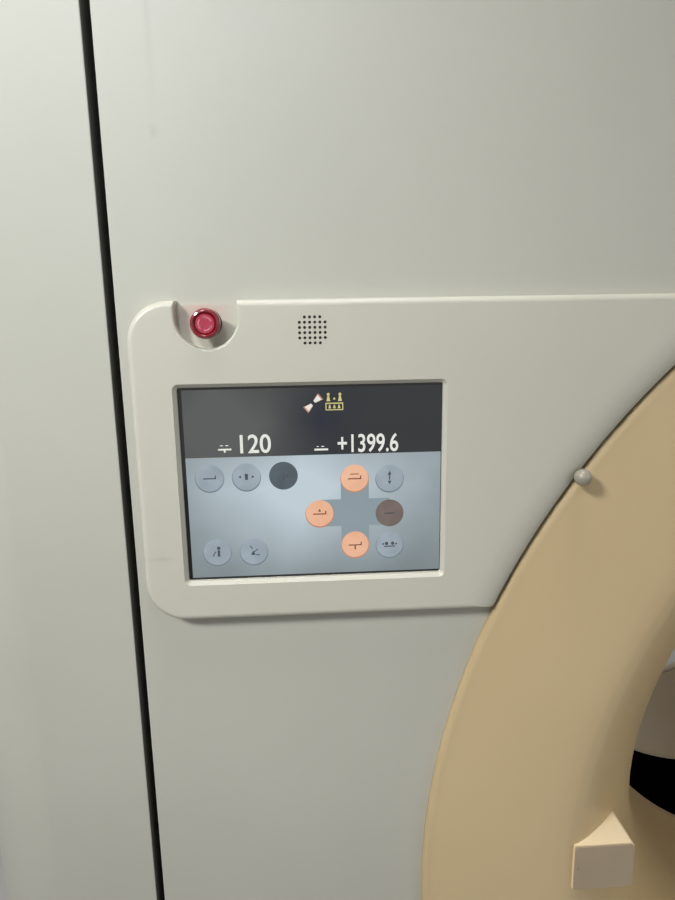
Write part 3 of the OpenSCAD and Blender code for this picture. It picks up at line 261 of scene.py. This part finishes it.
cover_finish = moulded("cover_finish", (0.48, 0.48, 0.435), (0.41, 0.41, 0.365), 0.42,
                       marks=cover_wear_and_gap_shade)
panel_finish = moulded("panel_finish", (0.53, 0.52, 0.46), (0.47, 0.46, 0.40), 0.40,
                       marks=panel_scuff_and_red_glow)
ring_finish = moulded("ring_finish", (0.64, 0.50, 0.295), (0.56, 0.43, 0.245), 0.36, ease=EASE)
laser_finish = moulded("laser_finish", (0.88, 0.75, 0.53), (0.82, 0.69, 0.48), 0.36, patch=20)
plate_finish = moulded("plate_finish", (0.375, 0.30, 0.215), (0.335, 0.265, 0.185), 0.45, patch=25)
trim_finish = moulded("trim_finish", (0.55, 0.53, 0.47), (0.48, 0.46, 0.40), 0.4)
black_finish = moulded("black_finish", (0.020, 0.020, 0.022), (0.012, 0.012, 0.013), 0.42, 0.6)
knob_finish = moulded("knob_finish", (0.31, 0.295, 0.24), (0.27, 0.255, 0.205), 0.30, 1.2, patch=60)
print("nodes in the cover's finish:", len(cover_finish.node_tree.nodes))

# %% [markdown]
# The scan window is a thin dark film that X-rays pass through, and touch glass lies over each
# screen. Both are nearly black, with faint smears in their gloss. The film is given no mirror gloss,
# so it stays black inside the pale tunnel: its near black is partly its own colour and partly
# painted shade of the deep tunnel. The glass also gets a second clear layer, its coat.

# %% Dark film and glass
COAT_ROUGH = 0.06


def glossy(name, pale, deep, rough, coat, mirror=0.5):
    made, place, shader = open_finish(name)
    patches = cloud(place, 30.0, detail=4.0)
    smears = cloud(place, 160.0, detail=5.0, rough=0.65)
    feed(shader, "Base Color", patches.choose(deep, pale))
    feed(shader, "Roughness", (rough + (smears - 0.5) * 0.10).held())
    feed(shader, "Normal", bumps(smears, strength=0.08, distance=0.0002))
    shader.inputs["Specular IOR Level"].default_value = mirror
    shader.inputs["Coat Weight"].default_value = coat
    shader.inputs["Coat Roughness"].default_value = COAT_ROUGH
    return made


# partly painted shade: near black with no mirror gloss, standing in for the deep tunnel's shade
window_and_shade_finish = glossy("window_and_shade_finish", (0.0016, 0.0010, 0.0006), (0.0008, 0.0006, 0.0004),
                       0.35, 0.0, mirror=0.0)
glass_finish = glossy("glass_finish", (0.012, 0.013, 0.014), (0.008, 0.008, 0.009), 0.10, 0.3)
pink_finish = glossy("pink_finish", (0.62, 0.20, 0.24), (0.52, 0.13, 0.17), 0.30, 0.5)
print("glossy finishes:", [made.name for made in (window_and_shade_finish, glass_finish, pink_finish)])

# %% [markdown]
# A stop button is clear red plastic over a red core: a pinkish disc in the middle, inside a dark
# clear rim. Real clear plastic would need many bounces of light, so the two are told apart by their
# distance from the button's axis, and a coat gives the bright ring that runs round the head.

# %% Clear red
low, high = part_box("stop_button_right")
BUTTON_X, BUTTON_Z, BUTTON_R = (low.x + high.x) / 2, (low.z + high.z) / 2, (high.x - low.x) / 2
DISC_R, RIM_SOFT = 0.62 * BUTTON_R, 0.0006


def button_red():
    made, place, shader = open_finish("red_finish")
    x, y, z = place.split()
    across = x.absolute() - BUTTON_X
    up = z - BUTTON_Z
    from_axis = (across * across + up * up).root()
    rim = ((from_axis - DISC_R) / RIM_SOFT + 0.5).held()
    smears = cloud(place, 260.0, detail=5.0, rough=0.65)
    facets = cloud(place, 700.0, detail=2.0)
    inside = facets.choose((0.46, 0.035, 0.085), (0.27, 0.006, 0.026))
    outside = smears.choose((0.13, 0.001, 0.006), (0.24, 0.004, 0.014))
    feed(shader, "Base Color", rim.choose(inside, outside))
    feed(shader, "Roughness", (0.14 + (smears - 0.5) * 0.10).held())
    feed(shader, "Normal", bumps(facets, strength=0.25, distance=0.0003))
    shader.inputs["Coat Weight"].default_value = 0.8
    shader.inputs["Coat Roughness"].default_value = COAT_ROUGH
    return made


red_finish = button_red()
print("button radius:", round(BUTTON_R * MM, 2), "mm, disc:", round(DISC_R * MM, 2), "mm")

# %% [markdown]
# Metal shows how it was made: a turned ring has fine lines round it, a rolled plate has them along
# it, and paint on metal is slightly dimpled. One helper draws the fine lines by stretching a cloud,
# and another makes the paint. The inner works are sealed in, but they are finished all the same.

# %% Metal and paint
UPRIGHT_LINES, LONG_LINES, ROUND_LINES = (40, 40, 900), (900, 40, 40), (60, 900, 60)


def metal(name, pale, deep, rough, lines=UPRIGHT_LINES):
    made, place, shader = open_finish(name)
    stretched = place.node("Mapping", None, {"Vector": place, "Scale": lines})
    brushed = cloud(stretched, 1.0, detail=4.0, rough=0.6)
    stains = cloud(place, 7.0, detail=4.0)
    feed(shader, "Base Color", (stains * 0.6 + brushed * 0.4).held().choose(deep, pale))
    feed(shader, "Roughness", (rough + (brushed - 0.5) * 0.22).held())
    feed(shader, "Normal", bumps(brushed, strength=0.2, distance=0.00004))
    shader.inputs["Metallic"].default_value = 1.0
    return made


def painted(name, pale, deep, rough):
    made, place, shader = open_finish(name)
    dimples = cloud(place, 420.0, detail=2.0)
    dust = cloud(place, 5.0, detail=5.0, rough=0.6)
    feed(shader, "Base Color", dust.choose(deep, pale))
    feed(shader, "Roughness", (rough + (dust - 0.5) * 0.2).held())
    feed(shader, "Normal", bumps(dimples, strength=0.3, distance=0.00005))
    return made


print("line directions:", UPRIGHT_LINES, LONG_LINES, ROUND_LINES)

# %% [markdown]
# The record that came with the solids names a slot for each of them, such as the covers' shell. A
# table from slot to finish dresses them all in one loop, so no solid can be forgotten: a slot that
# is missing here stops the script.

# %% Dress the solids
FINISHES = {
    "cover_shell": cover_finish,
    "panel_shell": panel_finish,
    "ring_shell": ring_finish,
    "window_band": window_and_shade_finish,
    "trim_grey": trim_finish,
    "touch_glass": glass_finish,
    "display_unit": black_finish,
    "switch_black": black_finish,
    "stop_red": red_finish,
    "knob_white": knob_finish,
    "speaker_dark": black_finish,
    "laser_shell": laser_finish,
    "laser_plate": plate_finish,
    "laser_body": metal("laser_body_finish", (0.34, 0.35, 0.37), (0.24, 0.25, 0.27), 0.35),
    "frame_paint": painted("frame_paint_finish", (0.46, 0.48, 0.50), (0.38, 0.40, 0.42), 0.5),
    "post_steel": metal("steel_finish", (0.68, 0.69, 0.71), (0.55, 0.56, 0.58), 0.32),
    "bush_bronze": metal("bronze_finish", (0.66, 0.48, 0.24), (0.52, 0.36, 0.16), 0.34),
    "gland_steel": metal("gland_finish", (0.70, 0.71, 0.72), (0.58, 0.59, 0.60), 0.30, LONG_LINES),
    "motor_paint": painted("motor_paint_finish", (0.17, 0.18, 0.20), (0.11, 0.12, 0.14), 0.45),
    "belt_rubber": moulded("belt_finish", (0.035, 0.035, 0.035), (0.02, 0.02, 0.02), 0.75, 0.5),
    "brush_holder": moulded("brush_finish", (0.10, 0.10, 0.11), (0.06, 0.06, 0.07), 0.6, 0.7),
    "fan_plastic": moulded("fan_finish", (0.05, 0.05, 0.055), (0.03, 0.03, 0.033), 0.5, 0.8),
    "rotor_alloy": metal("rotor_finish", (0.74, 0.75, 0.77), (0.62, 0.63, 0.65), 0.36, ROUND_LINES),
    "slip_tracks": metal("track_finish", (0.78, 0.60, 0.28), (0.62, 0.45, 0.18), 0.25, ROUND_LINES),
    "tube_paint": painted("tube_paint_finish", (0.58, 0.60, 0.61), (0.48, 0.50, 0.51), 0.4),
    "collimator_metal": metal("lead_finish", (0.24, 0.24, 0.25), (0.16, 0.16, 0.17), 0.6),
    "unit_paint": painted("unit_paint_finish", (0.36, 0.38, 0.41), (0.28, 0.30, 0.33), 0.5),
    "detector_alloy": metal("detector_finish", (0.28, 0.30, 0.33), (0.20, 0.22, 0.25), 0.4),
}
for part in frame["record"]["subparts"]:
    solid = frame["nodes"][part["node"]]
    solid.data.materials.clear()
    solid.data.materials.append(FINISHES[part["material_slot"]])
print("slots dressed:", len(FINISHES))

# %% [markdown]
# The control screens are lit. Everything on them is flat, so each colour becomes one thin sheet of
# discs, bars and other simple outlines, laid a few hundredths of a millimetre in front of the one
# below. The shapes are drawn in millimetres from the middle of the screen, and the same sheets
# serve both screens. We find the middles from the touch glass itself.

# %% Where the screens are
SCREEN_X = {}
for side in ("left", "right"):
    low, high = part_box(f"touch_glass_{side}")
    SCREEN_X[side] = (low.x + high.x) / 2
GLASS_Y = low.y
SCREEN_Z = (low.z + high.z) / 2
LAYER = 0.00004
print("screens at X:", {side: round(x, 4) for side, x in SCREEN_X.items()})

# %% [markdown]
# A few outlines are enough for every sign: a disc, a bar, and for the slanted ones a helper that
# turns an outline about its own middle and then moves it. Angles run anticlockwise from the right.

# %% Flat outlines
DISC_STEPS, DOT_STEPS = 48, 16


def disc(x, z, r, steps=DISC_STEPS):
    return [(x + r * math.cos(a), z + r * math.sin(a))
            for a in (math.tau * i / steps for i in range(steps))]


def dot(x, z, r):
    return disc(x, z, r, DOT_STEPS)


def bar(x0, z0, x1, z1):
    return [(x0, z0), (x1, z0), (x1, z1), (x0, z1)]


def placed(outline, x, z, degrees=0):
    c, s = math.cos(math.radians(degrees)), math.sin(math.radians(degrees))
    return [(x + u * c - v * s, z + u * s + v * c) for u, v in outline]


def slanted(x, z, length, width, degrees):
    return placed(bar(-length / 2, -width / 2, length / 2, width / 2), x, z, degrees)


def arrow(x, z, size, degrees):
    head = [(size, 0), (-size * 0.6, size * 0.8), (-size * 0.6, -size * 0.8)]
    return placed(head, x, z, degrees)


def wedge(x, z, length, width, degrees):
    """A sign that tapers to a blunt tip."""
    taper = [(-length / 2, -width / 2), (length / 2, -width / 5), (length / 2, width / 5),
             (-length / 2, width / 2)]
    return placed(taper, x, z, degrees)


print("points in a disc and a dot:", DISC_STEPS, DOT_STEPS)

# %% [markdown]
# A sheet could be one mesh for each outline, but that would leave hundreds of pieces. So all the
# outlines of one colour share a mesh. Each new piece then rides on the body that it is fixed to,
# and gets its finish.

# %% Sheets and new pieces
def flat_mesh(name, outlines):
    points = [(u / MM, 0, v / MM) for outline in outlines for u, v in outline]
    faces = []
    start = 0
    for outline in outlines:
        faces.append(list(range(start, start + len(outline))))
        start += len(outline)
    mesh = bpy.data.meshes.new(name)
    mesh.from_pydata(points, [], faces)
    return mesh


def add_piece(mesh, finish, body, place=(0, 0, 0)):
    mesh.materials.clear()
    mesh.materials.append(finish)
    made = bpy.data.objects.new(mesh.name, mesh)
    made.location = place
    bpy.context.scene.collection.objects.link(made)
    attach(made, body)


def on_screen(mesh, finish, side, layer):
    place = (SCREEN_X[side], GLASS_Y - LAYER * layer, SCREEN_Z)
    add_piece(mesh, finish, "gantry", place)


def sheet_of(name, outlines, finish, layer):
    """The same flat outlines in front of both screens."""
    for side in SCREEN_X:
        on_screen(flat_mesh(f"{name}_{side}", outlines), finish, side, layer)
    print(f"{name}: {len(outlines)} outlines")


print("layers lie", LAYER * MM, "mm apart")

# %% [markdown]
# A lit screen gives off light and also mirrors the room a little, because it lies under glass. So
# its finish glows, and its surface is black and smooth. The backlight is uneven: it is brightest
# near the middle and duller towards the edges, drawn with one wide soft spot and a cloud. The dark
# strip at the top has a painted reflection of the room in its glow: paler at its left end and
# bluish in the middle.

# %% Lit finishes
PALE_END_REFLECTION = ((-0.078, 0.048), (0.095, 0.090))
BLUE_REFLECTION = ((0.006, 0.052), (0.040, 0.040))
BRIGHT_MIDDLE = ((-0.010, -0.004), (0.140, 0.086))
UNDER_GLASS, UNDER_HEADER = (0.01, 0.01, 0.012, 1), (0.004, 0.004, 0.005, 1)


def glow(shader, base, shade, strength, rough):
    shader.inputs["Base Color"].default_value = base
    feed(shader, "Emission Color", shade)
    shader.inputs["Emission Strength"].default_value = strength
    feed(shader, "Roughness", rough)


def lit(name, pale, deep, scale=14.0):
    made, place, shader = open_finish(name)
    uneven = cloud(place, scale, detail=2.0)
    dots = cloud(place, 2600.0, detail=1.0)
    shade = ((uneven - 0.5) * 1.8 + 0.5 + (dots - 0.5) * 0.12).held().choose(deep, pale)
    glow(shader, UNDER_GLASS, shade, 1.0, 0.12 + (dots - 0.5) * 0.05)
    return made


def reflecting(name, left, right, middle):
    made, place, shader = open_finish(name)
    uneven = cloud(place, 24.0, detail=2.0)
    # painted reflection of the room: a pale left end and a bluish middle, in the header's glow
    shade = (spot(place, *PALE_END_REFLECTION) * 1.5 + (uneven - 0.5) * 0.25).held().choose(right, left)
    shade = (spot(place, *BLUE_REFLECTION) * 0.9).held().choose(shade, middle)
    glow(shader, UNDER_HEADER, shade, 0.6, 0.16 + (uneven - 0.5) * 0.05)
    return made


def backlight(name, pale, deep):
    made, place, shader = open_finish(name)
    uneven = cloud(place, 16.0, detail=2.0)
    shade = (spot(place, *BRIGHT_MIDDLE) * 1.25 + (uneven - 0.5) * 0.45).held().choose(deep, pale)
    glow(shader, UNDER_GLASS, shade, 0.95, 0.12 + (uneven - 0.5) * 0.05)
    return made


header_lit = reflecting("header_lit", seen(104, 108, 106), seen(50, 52, 54), seen(28, 38, 58))
field_lit = backlight("field_lit", seen(192, 206, 214), seen(124, 135, 138))
cross_lit = lit("cross_lit", seen(142, 156, 164), seen(128, 142, 148))
grey_lit = lit("grey_lit", seen(160, 172, 182), seen(138, 150, 158), scale=60)
grey_edge_lit = lit("grey_edge_lit", seen(118, 132, 142), seen(104, 118, 126), scale=60)
slate_lit = lit("slate_lit", seen(84, 96, 104), seen(66, 76, 84), scale=60)
orange_lit = lit("orange_lit", seen(236, 186, 154), seen(224, 168, 134), scale=60)
orange_edge_lit = lit("orange_edge_lit", seen(196, 140, 112), seen(178, 124, 98), scale=60)
brown_lit = lit("brown_lit", seen(120, 106, 100), seen(100, 88, 84), scale=60)
ink_lit = lit("ink_lit", seen(78, 84, 90), seen(62, 66, 72), scale=200)
red_ink_lit = lit("red_ink_lit", seen(130, 76, 56), seen(108, 60, 44), scale=200)
white_lit = lit("white_lit", seen(236, 236, 228), seen(214, 216, 210), scale=200)
yellow_lit = lit("yellow_lit", seen(214, 204, 140), seen(186, 176, 112), scale=200)
print("lit finishes:", len([made for made in bpy.data.materials if made.name.endswith("_lit")]))

# %% [markdown]
# The dark strip at the top holds two readings, and below it lie round touch keys. The keys that
# move the couch sit on a cross, three of them lit orange. Their places were measured on the screen
# in millimetres from its middle. A darker disc, a little larger and lower, edges each bright key.

# %% Screen background and keys
KEY_R, DARK_KEY_R, EDGE_KEY_R, EDGE_DROP = 11.4, 11.8, 11.9, 0.7
LIT_LEFT, LIT_RIGHT, LIT_TOP, HEADER_LOW, LIT_LOW = -103.5, 106.0, 79.0, 23.6, -79.5
GREY_KEYS = [(-84.9, 6.7), (-54.9, 6.8), (63.3, 2.2), (63.3, -55.8), (-82.1, -57.4), (-51.5, -57.9)]
SLATE_KEY, BROWN_KEY = (-24.6, 6.8), (63.3, -28.1)
ORANGE_KEYS = [(34.1, 3.1), (4.5, -26.4), (34.0, -54.7)]
CROSS = (34.2, -26.5)
ARM_HALF, ARM_REACH = 11.7, 29.0
CROSS_BARS = [bar(-ARM_HALF, -ARM_REACH, ARM_HALF, ARM_REACH),
              bar(-ARM_REACH, -ARM_HALF, -ARM_HALF, ARM_HALF),
              bar(ARM_HALF, -ARM_HALF, ARM_REACH, ARM_HALF)]


def key_edges(keys):
    return [disc(x, z - EDGE_DROP, EDGE_KEY_R) for x, z in keys]


sheet_of("screen_header", [bar(LIT_LEFT, HEADER_LOW, LIT_RIGHT, LIT_TOP)], header_lit, 1)
sheet_of("screen_field", [bar(LIT_LEFT, LIT_LOW, LIT_RIGHT, HEADER_LOW)], field_lit, 1)
sheet_of("screen_cross", [placed(outline, *CROSS) for outline in CROSS_BARS], cross_lit, 2)
sheet_of("key_edges_grey", key_edges(GREY_KEYS), grey_edge_lit, 3)
sheet_of("key_edges_orange", key_edges(ORANGE_KEYS), orange_edge_lit, 3)
sheet_of("keys_grey", [disc(x, z, KEY_R) for x, z in GREY_KEYS], grey_lit, 4)
sheet_of("keys_orange", [disc(x, z, KEY_R) for x, z in ORANGE_KEYS], orange_lit, 4)
sheet_of("key_slate", [disc(*SLATE_KEY, DARK_KEY_R)], slate_lit, 4)
sheet_of("key_brown", [disc(*BROWN_KEY, DARK_KEY_R)], brown_lit, 4)

# %% [markdown]
# Each key carries a small sign: a couch seen from the side, a lying person, a lamp or arrows. They
# are only a few millimetres high, so two or three bars and an arrow are enough for each. A sign is
# drawn round the middle of its key and then moved there.

# %% Signs on the keys
def couch(half):
    return [bar(-half, -1.1, half, -0.1), bar(half - 1.0, -0.1, half, 2.0)]


GREY_SIGNS = [
    couch(5.2),
    [dot(0, 1.3, 1.5), bar(-1.2, -2.6, 1.2, 0.4), arrow(-5.2, 0, 1.5, 180), arrow(5.2, 0, 1.5, 0)],
    [arrow(0, 4.2, 2.0, 90), bar(-0.6, -1.4, 0.6, 3.0), arrow(0, -3.4, 2.0, 270)],
    [bar(-4.6, -2.2, 4.6, -1.2), dot(-2.6, 0.8, 1.5), dot(2.6, 0.8, 1.5),
     arrow(-5.6, 0.4, 1.3, 180), arrow(5.6, 0.4, 1.3, 0)],
    [dot(1.4, 3.4, 1.5), bar(0.4, -4.0, 2.4, 1.6), slanted(-2.4, -1.6, 5.0, 0.8, 60)],
    [arrow(-0.6, -1.6, 2.4, 90), slanted(-2.0, 3.8, 3.4, 0.8, -50), bar(1.6, -3.4, 5.0, -2.6),
     slanted(1.8, 0.8, 4.2, 0.8, 40)],
]
SLATE_SIGN = [bar(-0.7, -3.6, 0.7, 2.6), dot(3.0, 0, 1.4)]
BROWN_SIGN = [bar(-4.4, -0.6, 4.4, 0.4)]
MOVE_SIGNS = [[bar(-3.6, 3.0, 3.6, 3.8)], [arrow(0, 2.4, 1.6, 90)], [bar(-0.6, -4.6, 0.6, -1.1)]]


def on_keys(pairs):
    return [placed(outline, *key) for key, sign in pairs for outline in sign]


dark_keys = [(SLATE_KEY, SLATE_SIGN), (BROWN_KEY, BROWN_SIGN)]
sheet_of("key_signs", on_keys([*zip(GREY_KEYS, GREY_SIGNS), *dark_keys]), ink_lit, 5)
couches = [(key, couch(5.6)) for key in ORANGE_KEYS]
sheet_of("couch_signs", on_keys([*couches, *zip(ORANGE_KEYS, MOVE_SIGNS)]), red_ink_lit, 5)

# %% [markdown]
# The dark strip has signs of its own: a small couch beside each reading, and at the top a pair of
# pale wedges and a little yellow frame with figures over and in it.

# %% Signs on the dark strip
READING_BARS = [(-76.8, 29.4, -66.0, 30.8), (-72.2, 27.6, -70.8, 29.4), (-75.0, 33.0, -72.6, 33.7),
                (-70.8, 33.0, -68.4, 33.7), (1.4, 27.2, 12.6, 28.8), (3.4, 30.2, 5.0, 30.9),
                (7.0, 30.2, 9.4, 30.9)]
WEDGE_EDGES = [(-2.2, 63.0, 6.8, 6.4, 40), (4.8, 69.6, 6.8, 6.4, 220)]
WEDGES = [(-1.8, 63.4, 5.6, 5.0, 40), (4.4, 69.2, 5.6, 5.0, 220)]
FRAME_BARS = [(11.2, 65.4, 25.6, 66.4), (11.2, 60.2, 25.6, 61.0), (11.2, 61.0, 12.0, 65.4),
              (24.8, 61.0, 25.6, 65.4)]
STANDING, STANDING_HEAD_Z, STANDING_Z = (13.6, 23.0), 73.2, 69.8
SEATED, SEATED_Z = (14.6, 18.4, 22.2), 63.2

sheet_of("reading_signs", [bar(*corners) for corners in READING_BARS], white_lit, 5)
sheet_of("status_edges", [wedge(*shape) for shape in WEDGE_EDGES], orange_edge_lit, 4)
sheet_of("status_wedges", [wedge(*shape) for shape in WEDGES], white_lit, 5)
figures = []
for x in STANDING:
    figures += [dot(x, STANDING_HEAD_Z, 1.2), wedge(x, STANDING_Z, 4.4, 3.2, 90)]
figures.append(dot(18.4, 69.6, 0.9))
figures += [bar(*corners) for corners in FRAME_BARS]
figures += [wedge(x, SEATED_Z, 3.0, 2.2, 90) for x in SEATED]
sheet_of("status_signs", figures, yellow_lit, 5)

# %% [markdown]
# The two readings are plain numbers. Blender's own font is wider than such a screen's, so the text
# is squeezed sideways to the width that was measured, then turned into a mesh, because a mesh is
# what leaves Blender unchanged.

# %% Readings
READINGS = [("couch_height", "120", -46.4, 26.4, 25.0, 15.6),
            ("couch_travel", "+1399.6", 45.5, 24.8, 50.0, 15.4)]
THICKER = 0.012


def number(name, words, middle, low, width, height):
    for side in SCREEN_X:
        text = bpy.data.curves.new(name, "FONT")
        text.body, text.align_x, text.size, text.offset = words, "CENTER", 1.0, THICKER
        draft = bpy.data.objects.new(name, text)
        mesh = bpy.data.meshes.new_from_object(draft)
        bpy.data.objects.remove(draft)
        xs = [v.co.x for v in mesh.vertices]
        ys = [v.co.y for v in mesh.vertices]
        for v in mesh.vertices:
            along = (v.co.x - min(xs)) / (max(xs) - min(xs)) - 0.5
            up = (v.co.y - min(ys)) / (max(ys) - min(ys))
            v.co = ((middle + along * width) / MM, 0, (low + up * height) / MM)
        mesh.name = f"{name}_{side}"
        on_screen(mesh, white_lit, side, 5)
    print(f"{name}: {width} by {height} mm")


for reading in READINGS:
    number(*reading)

# %% [markdown]
# A stop button of this kind shows how it is let go again by arrows on its middle disc. They are
# moulded in a lighter red. Three short arcs with a head each are drawn as thin sheets that lie on
# the disc and move in with the button.

# %% Arrows on the stop buttons
ARC_R, ARC_W, ARC_SPAN, ARC_STEPS = 5.0, 1.1, 74, 10
ARC_STARTS, HEAD_SIZE = (20, 140, 260), 1.5
DISC_DOWN = 0.00095


def around(r, degrees):
    return r * math.cos(math.radians(degrees)), r * math.sin(math.radians(degrees))


def arc(start):
    turns = [start + ARC_SPAN * i / ARC_STEPS for i in range(ARC_STEPS + 1)]
    return ([around(ARC_R + ARC_W / 2, turn) for turn in turns]
            + [around(ARC_R - ARC_W / 2, turn) for turn in reversed(turns)])


arrows = []
for start in ARC_STARTS:
    tip = start + ARC_SPAN
    arrows += [arc(start), arrow(*around(ARC_R, tip), HEAD_SIZE, tip + 90)]
for side in ("left", "right"):
    low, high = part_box(f"stop_button_{side}")
    middle = ((low.x + high.x) / 2, low.y + DISC_DOWN, (low.z + high.z) / 2)
    mesh = flat_mesh(f"stop_arrows_{side}", arrows)
    add_piece(mesh, pink_finish, f"stop_{side}", middle)
    print("arrows at:", [round(x, 4) for x in middle])

# %% [markdown]
# The housing swings past the pillars with a narrow gap. The real covers have sharp upright edges
# there, so the gap looks like one even dark line. The solids are rounder, so each edge gets a slim
# strip that fills its round out to a nearly square corner. Its outline, seen from above, is repeated
# at each height where the cover's own face bends back, and there it is cut off at that face, so the
# strip thins out over the crown instead of ending in a step.

# %% One strip
EDGE_W, EDGE_ROUND, PROUD = 0.0081, 0.0012, 0.00005
FLAT = 0.0004
ROUND_TURNS = range(0, 91, 15)
OUTLINE = [(EDGE_W, 0), (EDGE_W, EDGE_W), (0, EDGE_W)]
OUTLINE += [(EDGE_ROUND * (1 - math.cos(a)), EDGE_ROUND * (1 - math.sin(a)))
            for a in (math.radians(turn) for turn in ROUND_TURNS)]


def face_heights(points, end, edge_y):
    """How far the cover's face lies back, at each height where the strip needs a ring."""
    face = [v.z for v in points if v.y * end > edge_y - FLAT]
    low, top = min(face), max(face)
    rings = {low: 0.0, top: 0.0}
    for v in points:
        back = edge_y - v.y * end
        if back < EDGE_W and not low - FLAT < v.z < top + FLAT:
            height = round(v.z, 4)
            rings[height] = min(back, rings.get(height, EDGE_W))
    return sorted(rings.items())


def edge_strip(name, node, body, side, end, inward):
    """Side and end are the signs of X and Y; inward is 1 where the cover lies outside the edge."""
    points = [v.co for v in frame["nodes"][node].data.vertices]
    edge_x = inward * min(inward * abs(v.x) for v in points)
    edge_y = max(v.y * end for v in points)
    rings = face_heights(points, end, edge_y)
    outline = OUTLINE if side * end * inward < 0 else OUTLINE[::-1]
    corners = [(side * (edge_x + inward * u), end * (edge_y + PROUD - max(v, back)), height)
               for height, back in rings for u, v in outline]
    count = len(outline)
    last = count * (len(rings) - 1)
    faces = []
    for start in range(0, last, count):
        for i in range(count):
            after = (i + 1) % count
            faces.append([start + i, start + after, start + count + after, start + count + i])
    faces += [list(range(count))[::-1], list(range(last, last + count))]
    mesh = bpy.data.meshes.new(name)
    mesh.from_pydata(corners, [], faces)
    add_piece(mesh, cover_finish, body)
    print(name, "from", round(rings[0][0], 3), "to", round(rings[-1][0], 3))


print("points in the outline:", len(OUTLINE))

# %% [markdown]
# Each of the two gaps has a pillar on one side and the housing on the other, both at the front and
# at the rear. That makes eight strips, and two loops over the signs make them all.

# %% Edges along the gap
for side, side_name in ((-1, "left"), (1, "right")):
    for end, end_name in ((-1, "front"), (1, "rear")):
        edge_strip(f"pillar_edge_{side_name}_{end_name}", f"pillar_cover_{side_name}",
                   "stand", side, end, 1)
        edge_strip(f"housing_edge_{side_name}_{end_name}", f"{end_name}_cover",
                   "gantry", side, end, -1)

# %% [markdown]
# The machine stands in a pale room. The floor takes its shadow. What the camera and mirrors see
# behind it is made white by the kind of ray, not by more light, so the housing keeps its colours.

# %% Floor and sky
FLOOR_HALF = 6
ROOM_LIGHT, ROOM_SEEN = 0.20, 0.50

mesh = bpy.data.meshes.new("floor")
mesh.from_pydata([(-FLOOR_HALF, -FLOOR_HALF, 0), (FLOOR_HALF, -FLOOR_HALF, 0),
                  (FLOOR_HALF, FLOOR_HALF, 0), (-FLOOR_HALF, FLOOR_HALF, 0)], [], [(0, 1, 2, 3)])
mesh.materials.append(moulded("floor_finish", (0.80, 0.79, 0.77), (0.74, 0.73, 0.71), 0.6, 2.0))
floor = bpy.data.objects.new("floor", mesh)
bpy.context.scene.collection.objects.link(floor)

world = bpy.context.scene.world or bpy.data.worlds.new("room")
bpy.context.scene.world = world
world.use_nodes = True
world.node_tree.nodes.clear()
sky = Wire(world.node_tree)
rays = sky.node("LightPath").socket.node.outputs
camera_ray, glossy_ray, clear_ray = (Wire(world.node_tree, rays[f"Is {kind} Ray"])
                                     for kind in ("Camera", "Glossy", "Transmission"))
shown = (camera_ray + glossy_ray + clear_ray).held()
back = sky.node("Background", None, {"Color": (0.86, 0.86, 0.84, 1),
                                     "Strength": shown * ROOM_SEEN + ROOM_LIGHT})
seen_by_all = world.node_tree.nodes.new("ShaderNodeOutputWorld")
world.node_tree.links.new(back.socket, seen_by_all.inputs["Surface"])
print("floor:", 2 * FLOOR_HALF, "m wide, room light:", ROOM_LIGHT)

# %% [markdown]
# The light comes mostly from the upper left, so the housing is brightest there and falls off to the
# right. Two lamps have a narrowed fan of light to shape that: one for the whole front and one for
# the pillar. A fan is given as an angle, and light that is gathered in it needs fewer watts. A lamp
# over the machine and a large soft one at the right fill in the rest.

# %% Lamps
WARM, COOL, FILL = (1.0, 0.985, 0.94), (0.90, 0.97, 1.0), (1.0, 0.97, 0.92)
ALL_ROUND = 180


def lamp(name, place, target, width, watts, tint, fan=ALL_ROUND):
    data = bpy.data.lights.new(name, "AREA")
    data.shape, data.size, data.energy, data.color = "DISK", width, watts, tint
    data.spread = math.radians(fan)
    made = bpy.data.objects.new(name, data)
    made.location = place
    made.rotation_euler = (Vector(target) - Vector(place)).to_track_quat("-Z", "Y").to_euler()
    bpy.context.scene.collection.objects.link(made)
    print(name, "is", round((Vector(target) - Vector(place)).length, 2), "m from what it lights")


lamp("left_lamp", (-2.40, -2.00, 2.85), (-0.84, -0.5, 1.32), 0.45, 6.5, WARM, fan=60)
lamp("near_lamp", (-1.32, -2.12, 2.80), (-1.02, -0.5, 1.75), 0.5, 0.67, COOL, fan=30)
lamp("ceiling_lamp", (-0.75, -1.00, 4.50), (-0.7, -0.6, 1.2), 1.1, 45, WARM)
lamp("room_fill", (1.8, -2.6, 1.6), (0.2, -0.4, 0.9), 1.8, 13, FILL)

# %% [markdown]
